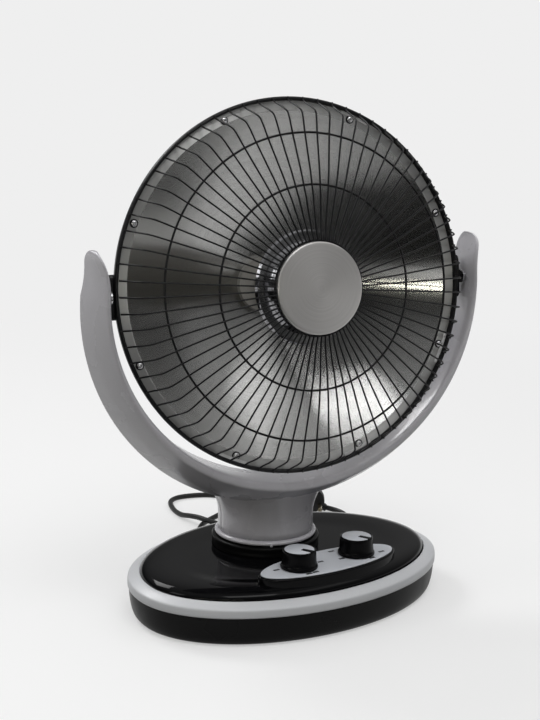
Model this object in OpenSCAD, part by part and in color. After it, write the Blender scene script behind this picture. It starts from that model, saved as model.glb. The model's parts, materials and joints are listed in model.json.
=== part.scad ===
// Parabolic (dish) heater: oval base, swivelling yoke, tilting reflector behind a wire guard.
// Millimetres. +Z is up, the front of the heater faces -Y, and the origin lies on the floor
// under the middle of the base's widest line.

/* [Base] */
// Half length of the oval base, left to right
base_half_len = 172.6; // [160:0.1:190]
// Depth of the oval base in front of its widest line
base_half_dep = 115.8; // [110:0.1:130]
// Depth of the oval base behind its widest line
base_rear_dep = 133; // [120:0.1:145]
// Height of the black lower shell, up to the pale trim ring
pan_top = 30.2; // [28:0.1:36]
// Wall of the lower shell
pan_wall = 3; // [2:0.1:4]
// Height of the pale trim ring
ring_h = 12.7; // [10:0.1:16]
// Wall of the black top cover
cover_wall = 2.5; // [1.5:0.1:3]
// Rise of the domed top cover above the trim ring
dome_rise = 10; // [7:0.1:12]
// Depth of the shallow well in the cover round the swivel
well_drop = 3.6; // [1:0.1:5]
// Radius of a rubber foot
foot_r = 9; // [6:0.5:12]
// Height that a rubber foot stands proud of the lower shell
foot_h = 2; // [1.5:0.1:3]

/* [Controls] */
// Half length of the oval control plate
plate_half_len = 80; // [74:0.5:84]
// Half depth of the oval control plate
plate_half_dep = 28; // [25:0.5:29]
// Height of the control plate's face above the floor
plate_top = 59.6; // [57:0.1:64]
// Distance of the controls in front of the base's middle
controls_y = 67.7; // [66:0.1:69]
// Distance of each knob from the middle line
knob_x = 35.2; // [32:0.1:40]
// Radius of a knob at its skirt
knob_r = 17.4; // [14:0.1:19]
// Height of a knob
knob_h = 18.3; // [14:0.1:22]
// Radius of a control spindle
spindle_r = 3; // [2:0.1:4]
// Angle that both knob pointers face at rest, from +X
pointer_angle = -67; // [-180:1:180]

/* [Swivel] */
// Distance of the neck's axis behind the base's middle
neck_y = 39.1; // [36:0.1:42]
// Outer radius of the neck
neck_r = 49; // [46:0.1:50]
// Height of the underside of the pale ring round the foot of the neck
lip_z = 60.5; // [60:0.1:64]
// Outer radius of that ring
lip_r = 52.4; // [51:0.1:54]
// Height of that ring
lip_h = 4.8; // [4:0.1:6]
// Radius of the black swivel collar
collar_r = 55.4; // [54:0.1:57]
// Outer radius of the swivel tube
tube_r = 30; // [26:0.1:32]
// Yaw of the yoke at rest, positive towards the left of the heater
yoke_yaw = -11.5; // [-20:0.1:20]
// Running clearance of shafts in their bores
run_gap = 0.05; // [0.02:0.01:0.09]

/* [Yoke] */
// Height of the top of the neck, where it meets the yoke's arc
neck_top_z = 136.6; // [132:0.1:142]
// Distance of the tilt axis in front of the neck's axis
pivot_y = 61.7; // [58:0.1:64]
// Clearance between the guard rim and the yoke's arc
side_gap = 6.5; // [5.5:0.1:9]
// Thickness of the yoke's arc at its front edge
arc_front_t = 6; // [5:0.1:8]
// Drop of the centre of that front circle below the tilt axis
arc_front_drop = 5.5; // [4:0.1:8]
// Thickness of the yoke's arc at its back edge
arc_back_t = 15.5; // [13:0.1:18]
// Drop of the centre of that back circle below the tilt axis
arc_back_drop = 18; // [14:0.1:20]
// Depth of the yoke in front of the tilt axis
arm_front = 20.5; // [19:0.1:23]
// Depth of the yoke behind the tilt axis
arm_back = 26.5; // [25:0.1:29]
// Height of the arms' tips above the tilt axis
tip_h = 43; // [38:0.1:46]
// Wall of the yoke's shells
yoke_wall = 2.5; // [2:0.1:2.8]

/* [Reflector and guard] */
// Upward tilt of the dish at rest
dish_tilt = 7.6; // [0:0.1:20]
// Radius of the reflector's bowl at its edge
bowl_r = 168; // [164:0.1:170]
// Depth of the bowl
bowl_depth = 78; // [70:0.5:84]
// Thickness of the spun sheet
sheet_t = 1; // [0.8:0.1:1.2]
// Width of the flat flange round the bowl
flange_w = 9.8; // [9:0.1:11]
// Width of the guard rim, seen from the front
rim_w = 5.2; // [4.5:0.1:6]
// Number of radial guard wires
wire_count = 72; // [48:4:72]
// Radius of a guard wire
wire_r = 1; // [0.8:0.05:1.2]
// Distance of the outer guard ring inside the rim
ring1_in = 38; // [34:0.1:42]
// Distance of the inner guard ring inside the outer one
ring2_in = 48.7; // [44:0.1:52]
// Forward reach of the guard at its outer ring
ring1_z = 35.7; // [32:0.1:38]
// Forward reach of the guard at its inner ring
ring2_z = 47.8; // [44:0.1:50]
// Radius of the round centre cap
cap_r = 43.5; // [41:0.1:44]
// Forward reach of the centre cap's seat
cap_z = 55.7; // [55:0.1:58]
// Radius of the chrome cup at its open rear edge
cup_r = 54.6; // [53:0.1:57]
// Forward reach of that edge
cup_z = 31.5; // [28:0.1:34]

/* [Heating element] */
// Radius of the ceramic core
core_r = 12; // [10:0.1:14]
// Number of turns of the heating coil
coil_turns = 12; // [8:1:16]
// Rise of the coil in one turn
coil_pitch = 4.6; // [4.2:0.1:5]
// Diameter of the coiled heating conductor
coil_d = 3; // [2:0.1:3.4]

/* [Mains lead] */
// Diameter of the mains lead
cord_d = 6; // [5:0.1:7]
// Height of the lead's exit in the back of the base
exit_z = 14; // [12:0.5:18]
// Number of turns in the stored coil of lead
store_turns = 4; // [4:1:5]
// Radius of the stored coil's outermost turn
store_r = 38; // [36:0.5:40]

/* [Hidden] */

// Points round the oval outlines, and steps round a full circle of lofted rings.
oval_n = 60;
$fn = 64;
fit = 0.3;
slip = 0.1;

black = [0.05, 0.05, 0.055];
pale = [0.72, 0.73, 0.76];
steel = [0.75, 0.75, 0.76];
alu = [0.62, 0.62, 0.6];

// The guard rim goes round the flange, and the yoke's arc goes round the rim.
flange_out = bowl_r + flange_w;
rim_r = flange_out + rim_w;
ring1_r = rim_r - ring1_in;
ring2_r = ring1_r - ring2_in;
arc_in = rim_r + side_gap;
arc_front_r = arc_in + arc_front_t;
arc_back_r = arc_in + arc_back_t;
pivot_z = neck_top_z + arc_in;

pan_floor = foot_h;
pan_inner_floor = pan_floor + pan_wall;
ring_top = pan_top + ring_h;
// The cover's edge lies inside the trim ring by this much of the base's outline.
cover_inset = 13.6;
cover_edge = ring_top - 0.5;
cover_len = base_half_len - cover_inset;
cover_dep = base_half_dep - cover_inset;
cover_rear = base_rear_dep - cover_inset;
well_z = cover_edge + dome_rise - well_drop;
plate_t = 1;
pod_top = plate_top - plate_t;
pod_wall = 2.5;
pod_len = plate_half_len + 2.6;
pod_dep = plate_half_dep + 2.6;
pod_bottom = cover_edge - 4;
bush_r = 5;
knob_gap = 0.5;
knob_base = plate_top + knob_gap;
knob_top = knob_base + knob_h;
knob_cap_t = 1;

collar_top = lip_z - 0.9;
collar_plug_r = collar_r - 4.5;
collar_bottom = 37;
washer_t = 0.8;
post_r = 4;
post_circle = 46.5;
tube_wall = 3;
tube_bottom = 12;
flange_r = 43.8;
flange_t = 4;

// Swing drive: a pinion on the motor turns a ring gear on the swivel tube.
gear_module = 2;
gear_teeth = 38;
pinion_teeth = 10;
gear_w = 5;
gear_z = 14;
gear_mesh_x = gear_module * (gear_teeth + pinion_teeth) / 2;
motor_r = 24;
motor_offset = 18;
motor_z = 22;
motor_h = 14.5;
shaft_r = 2.5;

arch_step = 6;
arm_edge = 3.2;
cover_slab = 3;
neck_cut = 20;
pin_r = 4;
boss_r = 9;
boss_gap = 2.3;
nut_t = 2;

flange_z = -2.2;
bowl_steps = 14;
bowl_hole_r = 22;
rim_front = 4;
rim_back = -8;
ring_wire_r = 1.15;
hub_ring_r = cap_r + 1.15;
bracket_gap = 0.5;
bracket_x = arc_in - boss_gap - bracket_gap;
bracket_half = 21.5;
flange_screw_angles = [24.5, 69, 114, 159.5, 205.5, 250.5, 294.5, 339.8];

plunger_travel = 5;
cord_r = cord_d / 2;
lay_gap = 1.2;

// The mains lead, from the strain relief at the back of the base to the stored coil.
exit_x = 10;
relief_end_y = 157;
lead_route = [
    [10, 157, 14], [10, 163, 14], [11, 172, 11.5], [14, 184, 7.5], [19, 195, 4.2],
    [27, 208, 3.1], [36, 220, 3.1], [48, 232, 3.1], [61, 240, 3.1], [76, 247, 3.1],
    [90, 254, 3.1], [103, 263, 3.1], [114, 273, 3.1], [122, 286, 3.1], [125, 299, 3.1],
    [122, 312, 3.1], [112, 323, 3.1], [94, 331, 3.1], [76, 333, 3.1],
    [62, 325, 3.1], [53, 309, 3.1], [47, 291, 3.1], [44, 272, 4.2], [44, 255, 7.6],
    [46, 239, 9.7], [49, 225.5, 9.5], [56.5, 213.5, 7.2], [68, 206, 4.4], [81, 205.5, 3.1],
    [91.5, 211, 3.1], [99.3, 220.5, 3.1], [106.4, 229.8, 3.1], [114.8, 236.3, 3.1],
    [124.8, 238.8, 3.1], [131.5, 238, 3.1]];
coil_centre = [162, 265];
store_start = -120;
// The lead's last stretch, from the stored coil to the plug.
tail_route = [
    [153.8, 225.4, 10.3], [160.5, 219.5, 9.4], [165, 210.5, 6.9], [166.3, 199, 4.3],
    [165.6, 186, 3.1], [165.8, 174.2, 3.1], [169.5, 165.4, 3.1], [176.5, 158.9, 3.1],
    [185.6, 156.1, 3.1], [195, 157.3, 3.1], [203.1, 162.4, 3.1], [208.2, 170.5, 3.1],
    [209.5, 179, 3.1], [208.8, 187, 3.3], [206.6, 193.5, 3.7], [204.1, 198.5, 4.2]];
plug_face = [186, 203, 14.3];
plug_yaw = 54;
plug_r = 14;
plug_len = 20;

// ---- helpers -------------------------------------------------------------------------------

// Oval with half length a, whose depth is b in front of its widest line and r behind it.
function oval(a, b, r, z, n = oval_n) =
    [for (i = [0:n - 1]) let (t = 360 * i / n) [a * cos(t), (t < 180 ? r : b) * sin(t), z]];

function fan(n) = [for (i = [1:n - 2]) [0, i, i + 1]];

// Closed solid through equal rings of points: first and last ring are capped, with the given
// triangles of a ring's points where the ring isn't convex.
module loft(rings, cap = []) {
    n = len(rings[0]);
    m = len(rings);
    lid = len(cap) > 0 ? cap : fan(n);
    far = (m - 1) * n;
    points = [for (r = rings) each r];
    side = [for (j = [0:m - 2]) for (i = [0:n - 1])
        let (a = j * n + i, b = j * n + (i + 1) % n, c = a + n, d = b + n)
        each [[a, c, b], [b, c, d]]];
    last = [for (t = lid) [far + t[0], far + t[2], far + t[1]]];
    polyhedron(points, concat(side, lid, last), convexity = 6);
}

// The same rings joined back to the first one, as a closed band.
module band(rings) {
    n = len(rings[0]);
    m = len(rings);
    points = [for (r = rings) each r];
    polyhedron(points, [for (j = [0:m - 1]) for (i = [0:n - 1])
        let (a = j * n + i, b = j * n + (i + 1) % n,
             c = ((j + 1) % m) * n + i, d = ((j + 1) % m) * n + (i + 1) % n)
        each [[a, c, b], [b, c, d]]], convexity = 6);
}

function inset_oval(inset, z) =
    oval(base_half_len - inset, base_half_dep - inset, base_rear_dep - inset, z);
function share_oval(k, z) = oval(cover_len * k, cover_dep * k, cover_rear * k, z);

// Height of the cover at share k of its outline: a steep shoulder, then a shallow well.
function well_share(k) = k < 0.6 ? 1 : k > 0.88 ? 0 : (1 + cos(180 * (k - 0.6) / 0.28)) / 2;
function dome_z(k) = cover_edge + dome_rise * sqrt(1 - pow(k, 14)) - well_drop * well_share(k);

function unit(v) = v / norm(v);

// Solid tube of radius r along a list of points, with n sides and flat ends.
function tube_rings(path, r, n) =
    let (m = len(path),
         dirs = [for (i = [0:m - 1]) unit(path[min(i + 1, m - 1)] - path[max(i - 1, 0)])])
    [for (i = [0:m - 1])
        let (d = dirs[i], s = unit(cross(d, abs(d[2]) > 0.9 ? [1, 0, 0] : [0, 0, 1])),
             u = cross(d, s))
        [for (k = [0:n - 1])
            path[i] + r * (cos(360 * k / n + 180 / n) * s + sin(360 * k / n + 180 / n) * u)]];

module tube(path, r, n) loft(tube_rings(path, r, n));

module turned(profile, fn = 96) rotate_extrude($fn = fn) polygon(profile);

module yoke_frame() translate([0, neck_y, 0]) rotate([0, 0, yoke_yaw]) children();

// Dish frame: x to the right, y up, z forward along the dish's axis, origin on the tilt axis.
module dish_frame()
    yoke_frame() translate([0, -pivot_y, pivot_z]) rotate([90 - dish_tilt, 0, 0]) children();

module both_sides() {
    children();
    mirror([1, 0, 0]) children();
}

// ---- base ----------------------------------------------------------------------------------

module base_pan() color(black) difference() {
    union() {
        loft([inset_oval(17, pan_floor), inset_oval(11.5, pan_floor + 1.5),
            inset_oval(7, pan_floor + 7), inset_oval(3.2, pan_floor + 17),
            inset_oval(1, pan_top), inset_oval(1 + pan_wall, pan_top),
            inset_oval(3.4 + pan_wall, pan_floor + 17),
            inset_oval(7.4 + pan_wall, pan_floor + 8),
            inset_oval(15 + pan_wall, pan_inner_floor)]);
        // Posts that carry the swivel collar.
        translate([0, neck_y, 0]) for (a = [45:90:315])
            rotate([0, 0, a]) translate([post_circle, 0, pan_floor + 1])
                cylinder(r = post_r, h = collar_bottom - pan_floor - 1);
        // Posts that carry the swing motor.
        for (s = [-1, 1])
            translate([gear_mesh_x + motor_offset + 14, neck_y + s * 12, pan_floor + 1])
                cylinder(r = 4, h = motor_z - pan_floor - 1);
        // Cradle for the tilt switch.
        for (x = [-84, -64]) translate([x, -12, pan_floor + 1]) cube([8, 24, 18]);
        // Pillars under the timer and the heat switch.
        for (x = [-knob_x, knob_x]) translate([x, -controls_y, pan_floor + 1])
            cylinder(r = 5, h = timer_z() - pan_floor - 1);
    }
    translate([-70, 0, -1]) cylinder(r = 4, h = 20);
    translate([exit_x, base_rear_dep - 30, exit_z]) rotate([-90, 0, 0]) cylinder(r = 6, h = 60);
}
function timer_z() = pod_top - pod_wall - 26;

module trim_ring() color(pale) band([
    inset_oval(0, pan_top), inset_oval(1.6, pan_top + 4.4), inset_oval(5.4, ring_top - 3.9),
    inset_oval(6.9, ring_top - 2.6), inset_oval(10.8, ring_top), inset_oval(13.2, ring_top),
    inset_oval(13.2, ring_top - 2.4), inset_oval(8.4, ring_top - 6), inset_oval(4.6, pan_top)]);

module top_cover() color(black) difference() {
    loft([share_oval(0.3, well_z - cover_wall), share_oval(0.6, well_z - cover_wall),
        share_oval(0.74, dome_z(0.74) - cover_wall), share_oval(0.88, dome_z(0.88) - cover_wall),
        share_oval(0.95, dome_z(0.95) - cover_wall), share_oval(0.98, cover_edge),
        share_oval(0.984, pan_top + 4), share_oval(1, pan_top + 4), share_oval(1, cover_edge),
        share_oval(0.993, dome_z(0.993)), share_oval(0.98, dome_z(0.98)),
        share_oval(0.96, dome_z(0.96)), share_oval(0.93, dome_z(0.93)),
        share_oval(0.88, dome_z(0.88)), share_oval(0.81, dome_z(0.81)),
        share_oval(0.74, dome_z(0.74)), share_oval(0.67, dome_z(0.67)), share_oval(0.6, well_z),
        share_oval(0.3, well_z)]);
    translate([0, neck_y, collar_bottom - 5]) cylinder(r = collar_plug_r, h = 60, $fn = 96);
    translate([0, neck_y, well_z]) cylinder(r = collar_r + slip, h = 60, $fn = 96);
    translate([0, -controls_y, pod_bottom - 5]) linear_extrude(60) scale_oval(pod_len, pod_dep);
}

module scale_oval(a, b) polygon([for (p = oval(a, b, b, 0, 48)) [p[0], p[1]]]);

// Black housing of the controls, standing through the cover.
module control_pod() color(black) translate([0, -controls_y, 0]) difference() {
    translate([0, 0, pod_bottom]) linear_extrude(pod_top - pod_bottom) scale_oval(pod_len, pod_dep);
    translate([0, 0, pod_bottom - 1]) linear_extrude(pod_top - pod_wall - pod_bottom + 1)
        scale_oval(pod_len - pod_wall, pod_dep - pod_wall);
    for (x = [-knob_x, knob_x]) translate([x, 0, pod_bottom]) cylinder(r = bush_r, h = 40);
}

module control_plate() color(pale) translate([0, -controls_y, pod_top]) difference() {
    linear_extrude(plate_t) scale_oval(plate_half_len, plate_half_dep);
    for (x = [-knob_x, knob_x]) translate([x, 0, -1]) cylinder(r = bush_r, h = 5);
}

foot_spots = [[-112, -52], [112, -52], [-104, 58], [104, 58], [0, 0]];

module rubber_feet() color([0.12, 0.12, 0.12]) for (p = foot_spots)
    translate([p[0], p[1], 0]) cylinder(r = foot_r, h = pan_floor);

module base_screws() color(steel) for (x = [-128, 128]) for (y = [-12, 26])
    translate([x, y, pan_inner_floor]) {
        cylinder(r = 4, h = 2.4);
        cylinder(r = 1.9, h = 20);
    }

module ballast_plate() color([0.35, 0.35, 0.37])
    translate([-48, -30, pan_inner_floor]) cube([96, 22, 9]);

module rotary_body(h, z) {
    difference() {
        union() {
            translate([-14, -14, z]) cube([28, 28, h]);
            translate([0, 0, z + h - 0.01]) cylinder(r = bush_r - slip, h = pod_wall + plate_t - 0.4);
        }
        translate([0, 0, z + 4]) cylinder(r = spindle_r + run_gap, h = h + 20);
    }
}

module heat_switch() color([0.85, 0.83, 0.78]) translate([-knob_x, -controls_y, 0])
    rotary_body(pod_top - pod_wall - timer_z(), timer_z());

module timer_unit() color([0.8, 0.8, 0.75]) translate([knob_x, -controls_y, 0])
    rotary_body(pod_top - pod_wall - timer_z(), timer_z());

module spindle() {
    translate([0, 0, timer_z() + 4.3])
        cylinder(r = spindle_r, h = knob_top - 4 - timer_z() - 4.3);
}

module heat_spindle() color(steel) translate([-knob_x, -controls_y, 0]) spindle();
module timer_spindle() color(steel) translate([knob_x, -controls_y, 0]) spindle();

pointer_w = 2.4;

// Knob body: tapered skirt, recessed top for the pale disc and a raised pointer rib.
module knob_solid() {
    difference() {
        turned([[0, knob_base], [knob_r, knob_base], [knob_r - 0.3, knob_base + 2.5],
            [knob_r - 1.4, knob_base + 4.5], [knob_r - 2, knob_top - 2.2],
            [knob_r - 2.6, knob_top - 0.8], [knob_r - 3.4, knob_top - 0.2],
            [knob_r - 3.4, knob_top - knob_cap_t], [0, knob_top - knob_cap_t]], 64);
        translate([0, 0, knob_base - 1]) cylinder(r = spindle_r, h = knob_top - 3 - knob_base);
        translate([0, 0, knob_base - 1]) cylinder(r = bush_r + 3, h = 4.5);
    }
    rotate([0, 0, pointer_angle]) translate([0, -pointer_w / 2, knob_top - knob_cap_t])
        cube([knob_r - 3.5, pointer_w, knob_cap_t + 0.2]);
}

module knob_disc() difference() {
    translate([0, 0, knob_top - knob_cap_t]) cylinder(r = knob_r - 3.5, h = knob_cap_t);
    rotate([0, 0, pointer_angle]) translate([-slip, -pointer_w / 2 - slip, knob_top - 5])
        cube([knob_r, pointer_w + 2 * slip, 10]);
}

module heat_knob() color(black) translate([-knob_x, -controls_y, 0]) knob_solid();
module heat_knob_cap() color(pale) translate([-knob_x, -controls_y, 0]) knob_disc();
module timer_knob() color(black) translate([knob_x, -controls_y, 0]) knob_solid();
module timer_knob_cap() color(pale) translate([knob_x, -controls_y, 0]) knob_disc();

// Cut-out switch that opens when the heater tips over, and its plunger through the floor.
module tip_switch() color([0.2, 0.2, 0.22]) translate([-70, 0, 0]) difference() {
    translate([-6, -10, pan_inner_floor + 8.3]) cube([12, 20, 11]);
    translate([0, 0, pan_inner_floor]) cylinder(r = 2.6, h = 14);
}

module tip_plunger() color([0.9, 0.9, 0.88]) translate([-70, 0, 0]) {
    translate([0, 0, 0.2]) cylinder(r = 4 - run_gap * 2, h = pan_inner_floor + 1);
    translate([0, 0, pan_inner_floor + plunger_travel + 0.4]) cylinder(r = 5.5, h = 1.6);
    translate([0, 0, pan_inner_floor]) cylinder(r = 2.4, h = 12);
}

// ---- swivel --------------------------------------------------------------------------------

module swivel_collar() color(black) translate([0, neck_y, 0]) difference() {
    turned([[tube_r + run_gap, collar_bottom], [collar_plug_r, collar_bottom],
        [collar_plug_r, well_z], [collar_r - 0.8, well_z], [collar_r, well_z + 1.2],
        [collar_r - 0.6, well_z + 4], [collar_r, collar_top - 2.6], [collar_r, collar_top - 1.4],
        [collar_r - 1.2, collar_top], [tube_r + run_gap, collar_top]]);
}

module thrust_washer() color([0.9, 0.9, 0.85]) translate([0, neck_y, collar_top])
    difference() {
        cylinder(r = flange_r - 1, h = washer_t);
        translate([0, 0, -1]) cylinder(r = tube_r + 1, h = 3);
    }

module swing_motor() color([0.7, 0.7, 0.68])
    translate([gear_mesh_x + motor_offset, neck_y, motor_z]) {
        cylinder(r = motor_r, h = motor_h);
        translate([-motor_offset, 0, -0.6]) cylinder(r = 5, h = 1);
    }

// Straight-sided gear: teeth are narrower than their gaps, so it runs with backlash.
module gear_outline(teeth, r, phase) {
    pitch = 360 / teeth;
    add = gear_module * 0.8;
    ded = gear_module * 1.1;
    polygon([for (i = [0:teeth - 1]) for (k = [0:3])
        let (a = phase + i * pitch + [-0.3, -0.13, 0.13, 0.3][k] * pitch,
             q = [r - ded, r + add, r + add, r - ded][k]) [q * cos(a), q * sin(a)]]);
}

module swing_gear() color([0.9, 0.9, 0.86]) yoke_frame() translate([0, 0, gear_z]) difference() {
    linear_extrude(gear_w)
        gear_outline(gear_teeth, gear_module * gear_teeth / 2, -yoke_yaw);
    translate([0, 0, -1]) cylinder(r = tube_r, h = gear_w + 2);
}

// The pinion's gap faces the gear's tooth on the line between their axes.
module drive_pinion() color([0.9, 0.9, 0.86]) translate([gear_mesh_x, neck_y, 0]) {
    translate([0, 0, gear_z - 0.5]) linear_extrude(gear_w + 1)
        gear_outline(pinion_teeth, gear_module * pinion_teeth / 2, 180 + 180 / pinion_teeth);
    translate([0, 0, gear_z]) cylinder(r = shaft_r, h = motor_z - 0.6 - gear_z - fit);
}

module swivel_tube() color([0.6, 0.6, 0.62]) yoke_frame() difference() {
    union() {
        translate([0, 0, tube_bottom]) cylinder(r = tube_r, h = lip_z + flange_t - tube_bottom);
        translate([0, 0, lip_z]) cylinder(r = flange_r, h = flange_t);
    }
    translate([0, 0, tube_bottom - 1]) cylinder(r = tube_r - tube_wall, h = 80);
    // Groove for the retaining clip.
    translate([0, 0, collar_bottom - 4]) difference() {
        cylinder(r = tube_r + 1, h = 2);
        translate([0, 0, -1]) cylinder(r = tube_r - 1.2, h = 4);
    }
}

module tube_clip() color(steel) yoke_frame() translate([0, 0, collar_bottom - 4]) difference() {
    cylinder(r = tube_r + 4, h = 2);
    translate([0, 0, -1]) cylinder(r = tube_r - 1.2, h = 4);
    translate([-4, -tube_r - 8, -1]) cube([8, 16, 4]);
}

module neck_ring() color(pale) yoke_frame() {
    difference() {
        turned([[flange_r, lip_z], [lip_r - 1.6, lip_z], [lip_r - 0.4, lip_z + 0.8],
            [lip_r, lip_z + 2.2], [lip_r - 0.6, lip_z + 3.6], [lip_r - 2, lip_z + lip_h],
            [flange_r, lip_z + lip_h]]);
    }
    rotate([0, 0, -107]) translate([lip_r - 1.5, -1.2, lip_z]) cube([3.2, 2.4, 2]);
}

// ---- yoke ----------------------------------------------------------------------------------

// Distance from the tilt axis to a circle of radius r whose centre lies drop below it,
// at angle t from straight down.
function reach(r, drop, t) = drop * cos(t) + sqrt(r * r - pow(drop * sin(t), 2));

// Cross-sections of the yoke, as distances from the tilt axis and along y. The front shell is a
// channel, open at the back, and the cover closes it.
function channel_points(a, of, ob, yf, yb) =
    let (c = arm_edge, w = yoke_wall, ys = yb - cover_slab, os = lerp(of, ob, 0.94),
         deep = min(yf + w, ys - 0.6), thin = max(a + w + 0.6, of - w))
    [[a + c, yf], [a, yf + c], [a, ys], [a + w, ys], [a + w, deep], [thin, deep],
        [max(thin + 0.3, os - w), ys], [os, ys], [(of + ob) / 2 + 0.8, (yf + ys) / 2],
        [of + 0.4, yf + c * 1.3], [of - c * 0.6, yf]];
channel_cap = [[0, 1, 4], [1, 2, 3], [1, 3, 4], [0, 4, 5], [0, 5, 10], [5, 9, 10], [5, 8, 9],
    [5, 6, 8], [6, 7, 8]];
function cover_points(a, of, ob, yf, yb) =
    let (ys = yb - cover_slab, os = lerp(of, ob, 0.94))
    [[a, ys], [a, yb - 1.2], [a + 1.2, yb], [os - 1.8, yb], [os - 0.2, yb - 1.5], [os, ys]];
function section(kind, dir, base, a, of, ob, yf, yb) =
    let (pts = kind == "cover" ? cover_points(a, of, ob, yf, yb)
                               : channel_points(a, of, ob, yf, yb))
    [for (p = pts) base + p[0] * dir + [0, p[1], 0]];

function lerp(a, b, t) = a + (b - a) * t;

// Stations round the arc, then up each arm to its swept-back tip.
function arc_station(kind, t) =
    section(kind, [sin(t), 0, -cos(t)], [0, 0, 0], arc_in, reach(arc_front_r, arc_front_drop, t),
        reach(arc_back_r, arc_back_drop, t), -arm_front, arm_back);

tip_shares = [0.2, 0.42, 0.62, 0.78, 0.9, 0.97, 1];
function tip_station(kind, side, s) =
    let (x_f = reach(arc_front_r, arc_front_drop, 90), x_b = reach(arc_back_r, arc_back_drop, 90),
         round = s < 0.5 ? 0 : 1 - sqrt(max(0, 1 - pow((s - 0.5) / 0.5, 2))),
         mid = (arc_in + x_b) / 2,
         back = arm_back - 4 * s * s,
         front = lerp(-arm_front, arm_back - 15, pow(max(0, s - 0.08) / 0.92, 1.9)))
    section(kind, [side, 0, 0], [0, 0, tip_h * s], lerp(arc_in, mid - 4, round),
        lerp(x_f + 2 * s, mid + 4, round), lerp(x_b - s, mid + 5, round), front, back);

module arch() translate([0, -pivot_y, pivot_z]) loft(concat(
    [for (i = [len(tip_shares) - 1:-1:0]) tip_station("shell", 1, tip_shares[i])],
    [for (t = [90:-arch_step:-90]) arc_station("shell", t)],
    [for (s = tip_shares) tip_station("shell", -1, s)]), channel_cap);

// Neck under the arc, its roof sloping down to the back. It ends inside the arc's inner wall.
module neck_body(e) difference() {
    translate([0, 0, lip_z + lip_h - (e > 0 ? 1 : 0)])
        cylinder(r = neck_r - e, h = neck_top_z - lip_z - lip_h + 4, $fn = 96);
    translate([0, -100, pivot_z]) rotate([-90, 0, 0])
        cylinder(r = arc_in + yoke_wall * 0.35 + e * 0.3, h = 200, $fn = 180);
    translate([0, arm_back - pivot_y - 1, neck_top_z - 1 - e * 1.05]) rotate([-neck_cut, 0, 0])
        translate([-80, 0, 0]) cube([160, 160, 80]);
}

module yoke_front_shell() color(pale) yoke_frame() {
    difference() {
        union() {
            arch();
            both_sides() screw_spots(screw_boss_depth, cover_slab)
                cylinder(r = 2.7, h = screw_boss_depth);
            difference() {
                neck_body(0);
                neck_body(yoke_wall);
                translate([-100, 0, 0]) cube([200, 100, 300]);
            }
        }
        both_sides() translate([arc_in - 5, -pivot_y, pivot_z]) rotate([0, 90, 0])
            cylinder(r = pin_r + run_gap, h = 5 + yoke_wall + 0.5);
        screw_holes();
    }
    both_sides() translate([arc_in - boss_gap, -pivot_y, pivot_z]) rotate([0, 90, 0])
        difference() {
            cylinder(r = boss_r, h = boss_gap);
            translate([0, 0, -1]) cylinder(r = pin_r + run_gap, h = boss_gap + 2);
        }
}

cover_start = 18;
module arm_cover(side) color(pale) yoke_frame() difference() {
    translate([0, -pivot_y, pivot_z]) mirror([side > 0 ? 0 : 1, 0, 0]) loft(concat(
        [for (i = [len(tip_shares) - 1:-1:0]) tip_station("cover", 1, tip_shares[i])],
        [for (t = [90:-arch_step:cover_start]) arc_station("cover", t)]));
    screw_holes();
}

module arm_cover_left() arm_cover(-1);
module arm_cover_right() arm_cover(1);

module neck_rear_cover() color(pale) yoke_frame() difference() {
    neck_body(0);
    neck_body(yoke_wall);
    translate([-100, -100, 0]) cube([200, 100, 300]);
}

// Screws that hold each arm's cover: placed along y, from depth in front of the back face.
yoke_screw_angles = [30, 48, 66];
screw_boss_depth = 18;
screw_r = 1.4;
module screw_spots(depth, inset) translate([0, -pivot_y, pivot_z]) for (t = yoke_screw_angles)
    let (r = arc_in + yoke_wall + 2.2)
    translate([r * sin(t), arm_back - inset - depth, -r * cos(t)]) rotate([-90, 0, 0]) children();
module screw_holes() both_sides() screw_spots(14, 0) cylinder(r = screw_r, h = 20);

module yoke_screws() color(steel) yoke_frame() both_sides() {
    screw_spots(14, 0) cylinder(r = screw_r, h = 14);
    screw_spots(0, 0) cylinder(r = 2.8, h = 1.2);
}

// ---- tilt pivots ---------------------------------------------------------------------------

module pivot_pins() color(steel) yoke_frame() translate([0, -pivot_y, pivot_z])
    both_sides() translate([bracket_x, 0, 0]) rotate([0, 90, 0])
        cylinder(r = pin_r, h = arc_in + yoke_wall + nut_t + 0.4 - bracket_x);

module pivot_nuts() color(steel) yoke_frame() translate([0, -pivot_y, pivot_z])
    both_sides() translate([arc_in + yoke_wall + 0.2, 0, 0]) rotate([0, 90, 0]) difference() {
        cylinder(r = 6, h = nut_t - 0.2, $fn = 6);
        translate([0, 0, -1]) cylinder(r = pin_r, h = nut_t + 2);
    }

// Black brackets saddled on the rim, waisted round the pivot.
module pivot_brackets() color(black) dish_frame() both_sides() difference() {
    translate([rim_r - 4, 0, 0]) rotate([90, 0, 90]) linear_extrude(bracket_x - rim_r + 4)
        polygon([[-bracket_half + 4, -12], [bracket_half - 6, -12], [bracket_half, -6],
            [bracket_half, 3], [10, 4], [-10, 4], [-bracket_half, 2], [-bracket_half, -7]]);
    translate([0, 0, -20]) cylinder(r = rim_r, h = 40, $fn = 180);
}

// ---- reflector and guard -------------------------------------------------------------------

function bowl_z(r) = flange_z - bowl_depth * (1 - pow(r / bowl_r, 2));

bowl_radii = [for (i = [0:bowl_steps]) lerp(bowl_hole_r, bowl_r, i / bowl_steps)];

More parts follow.
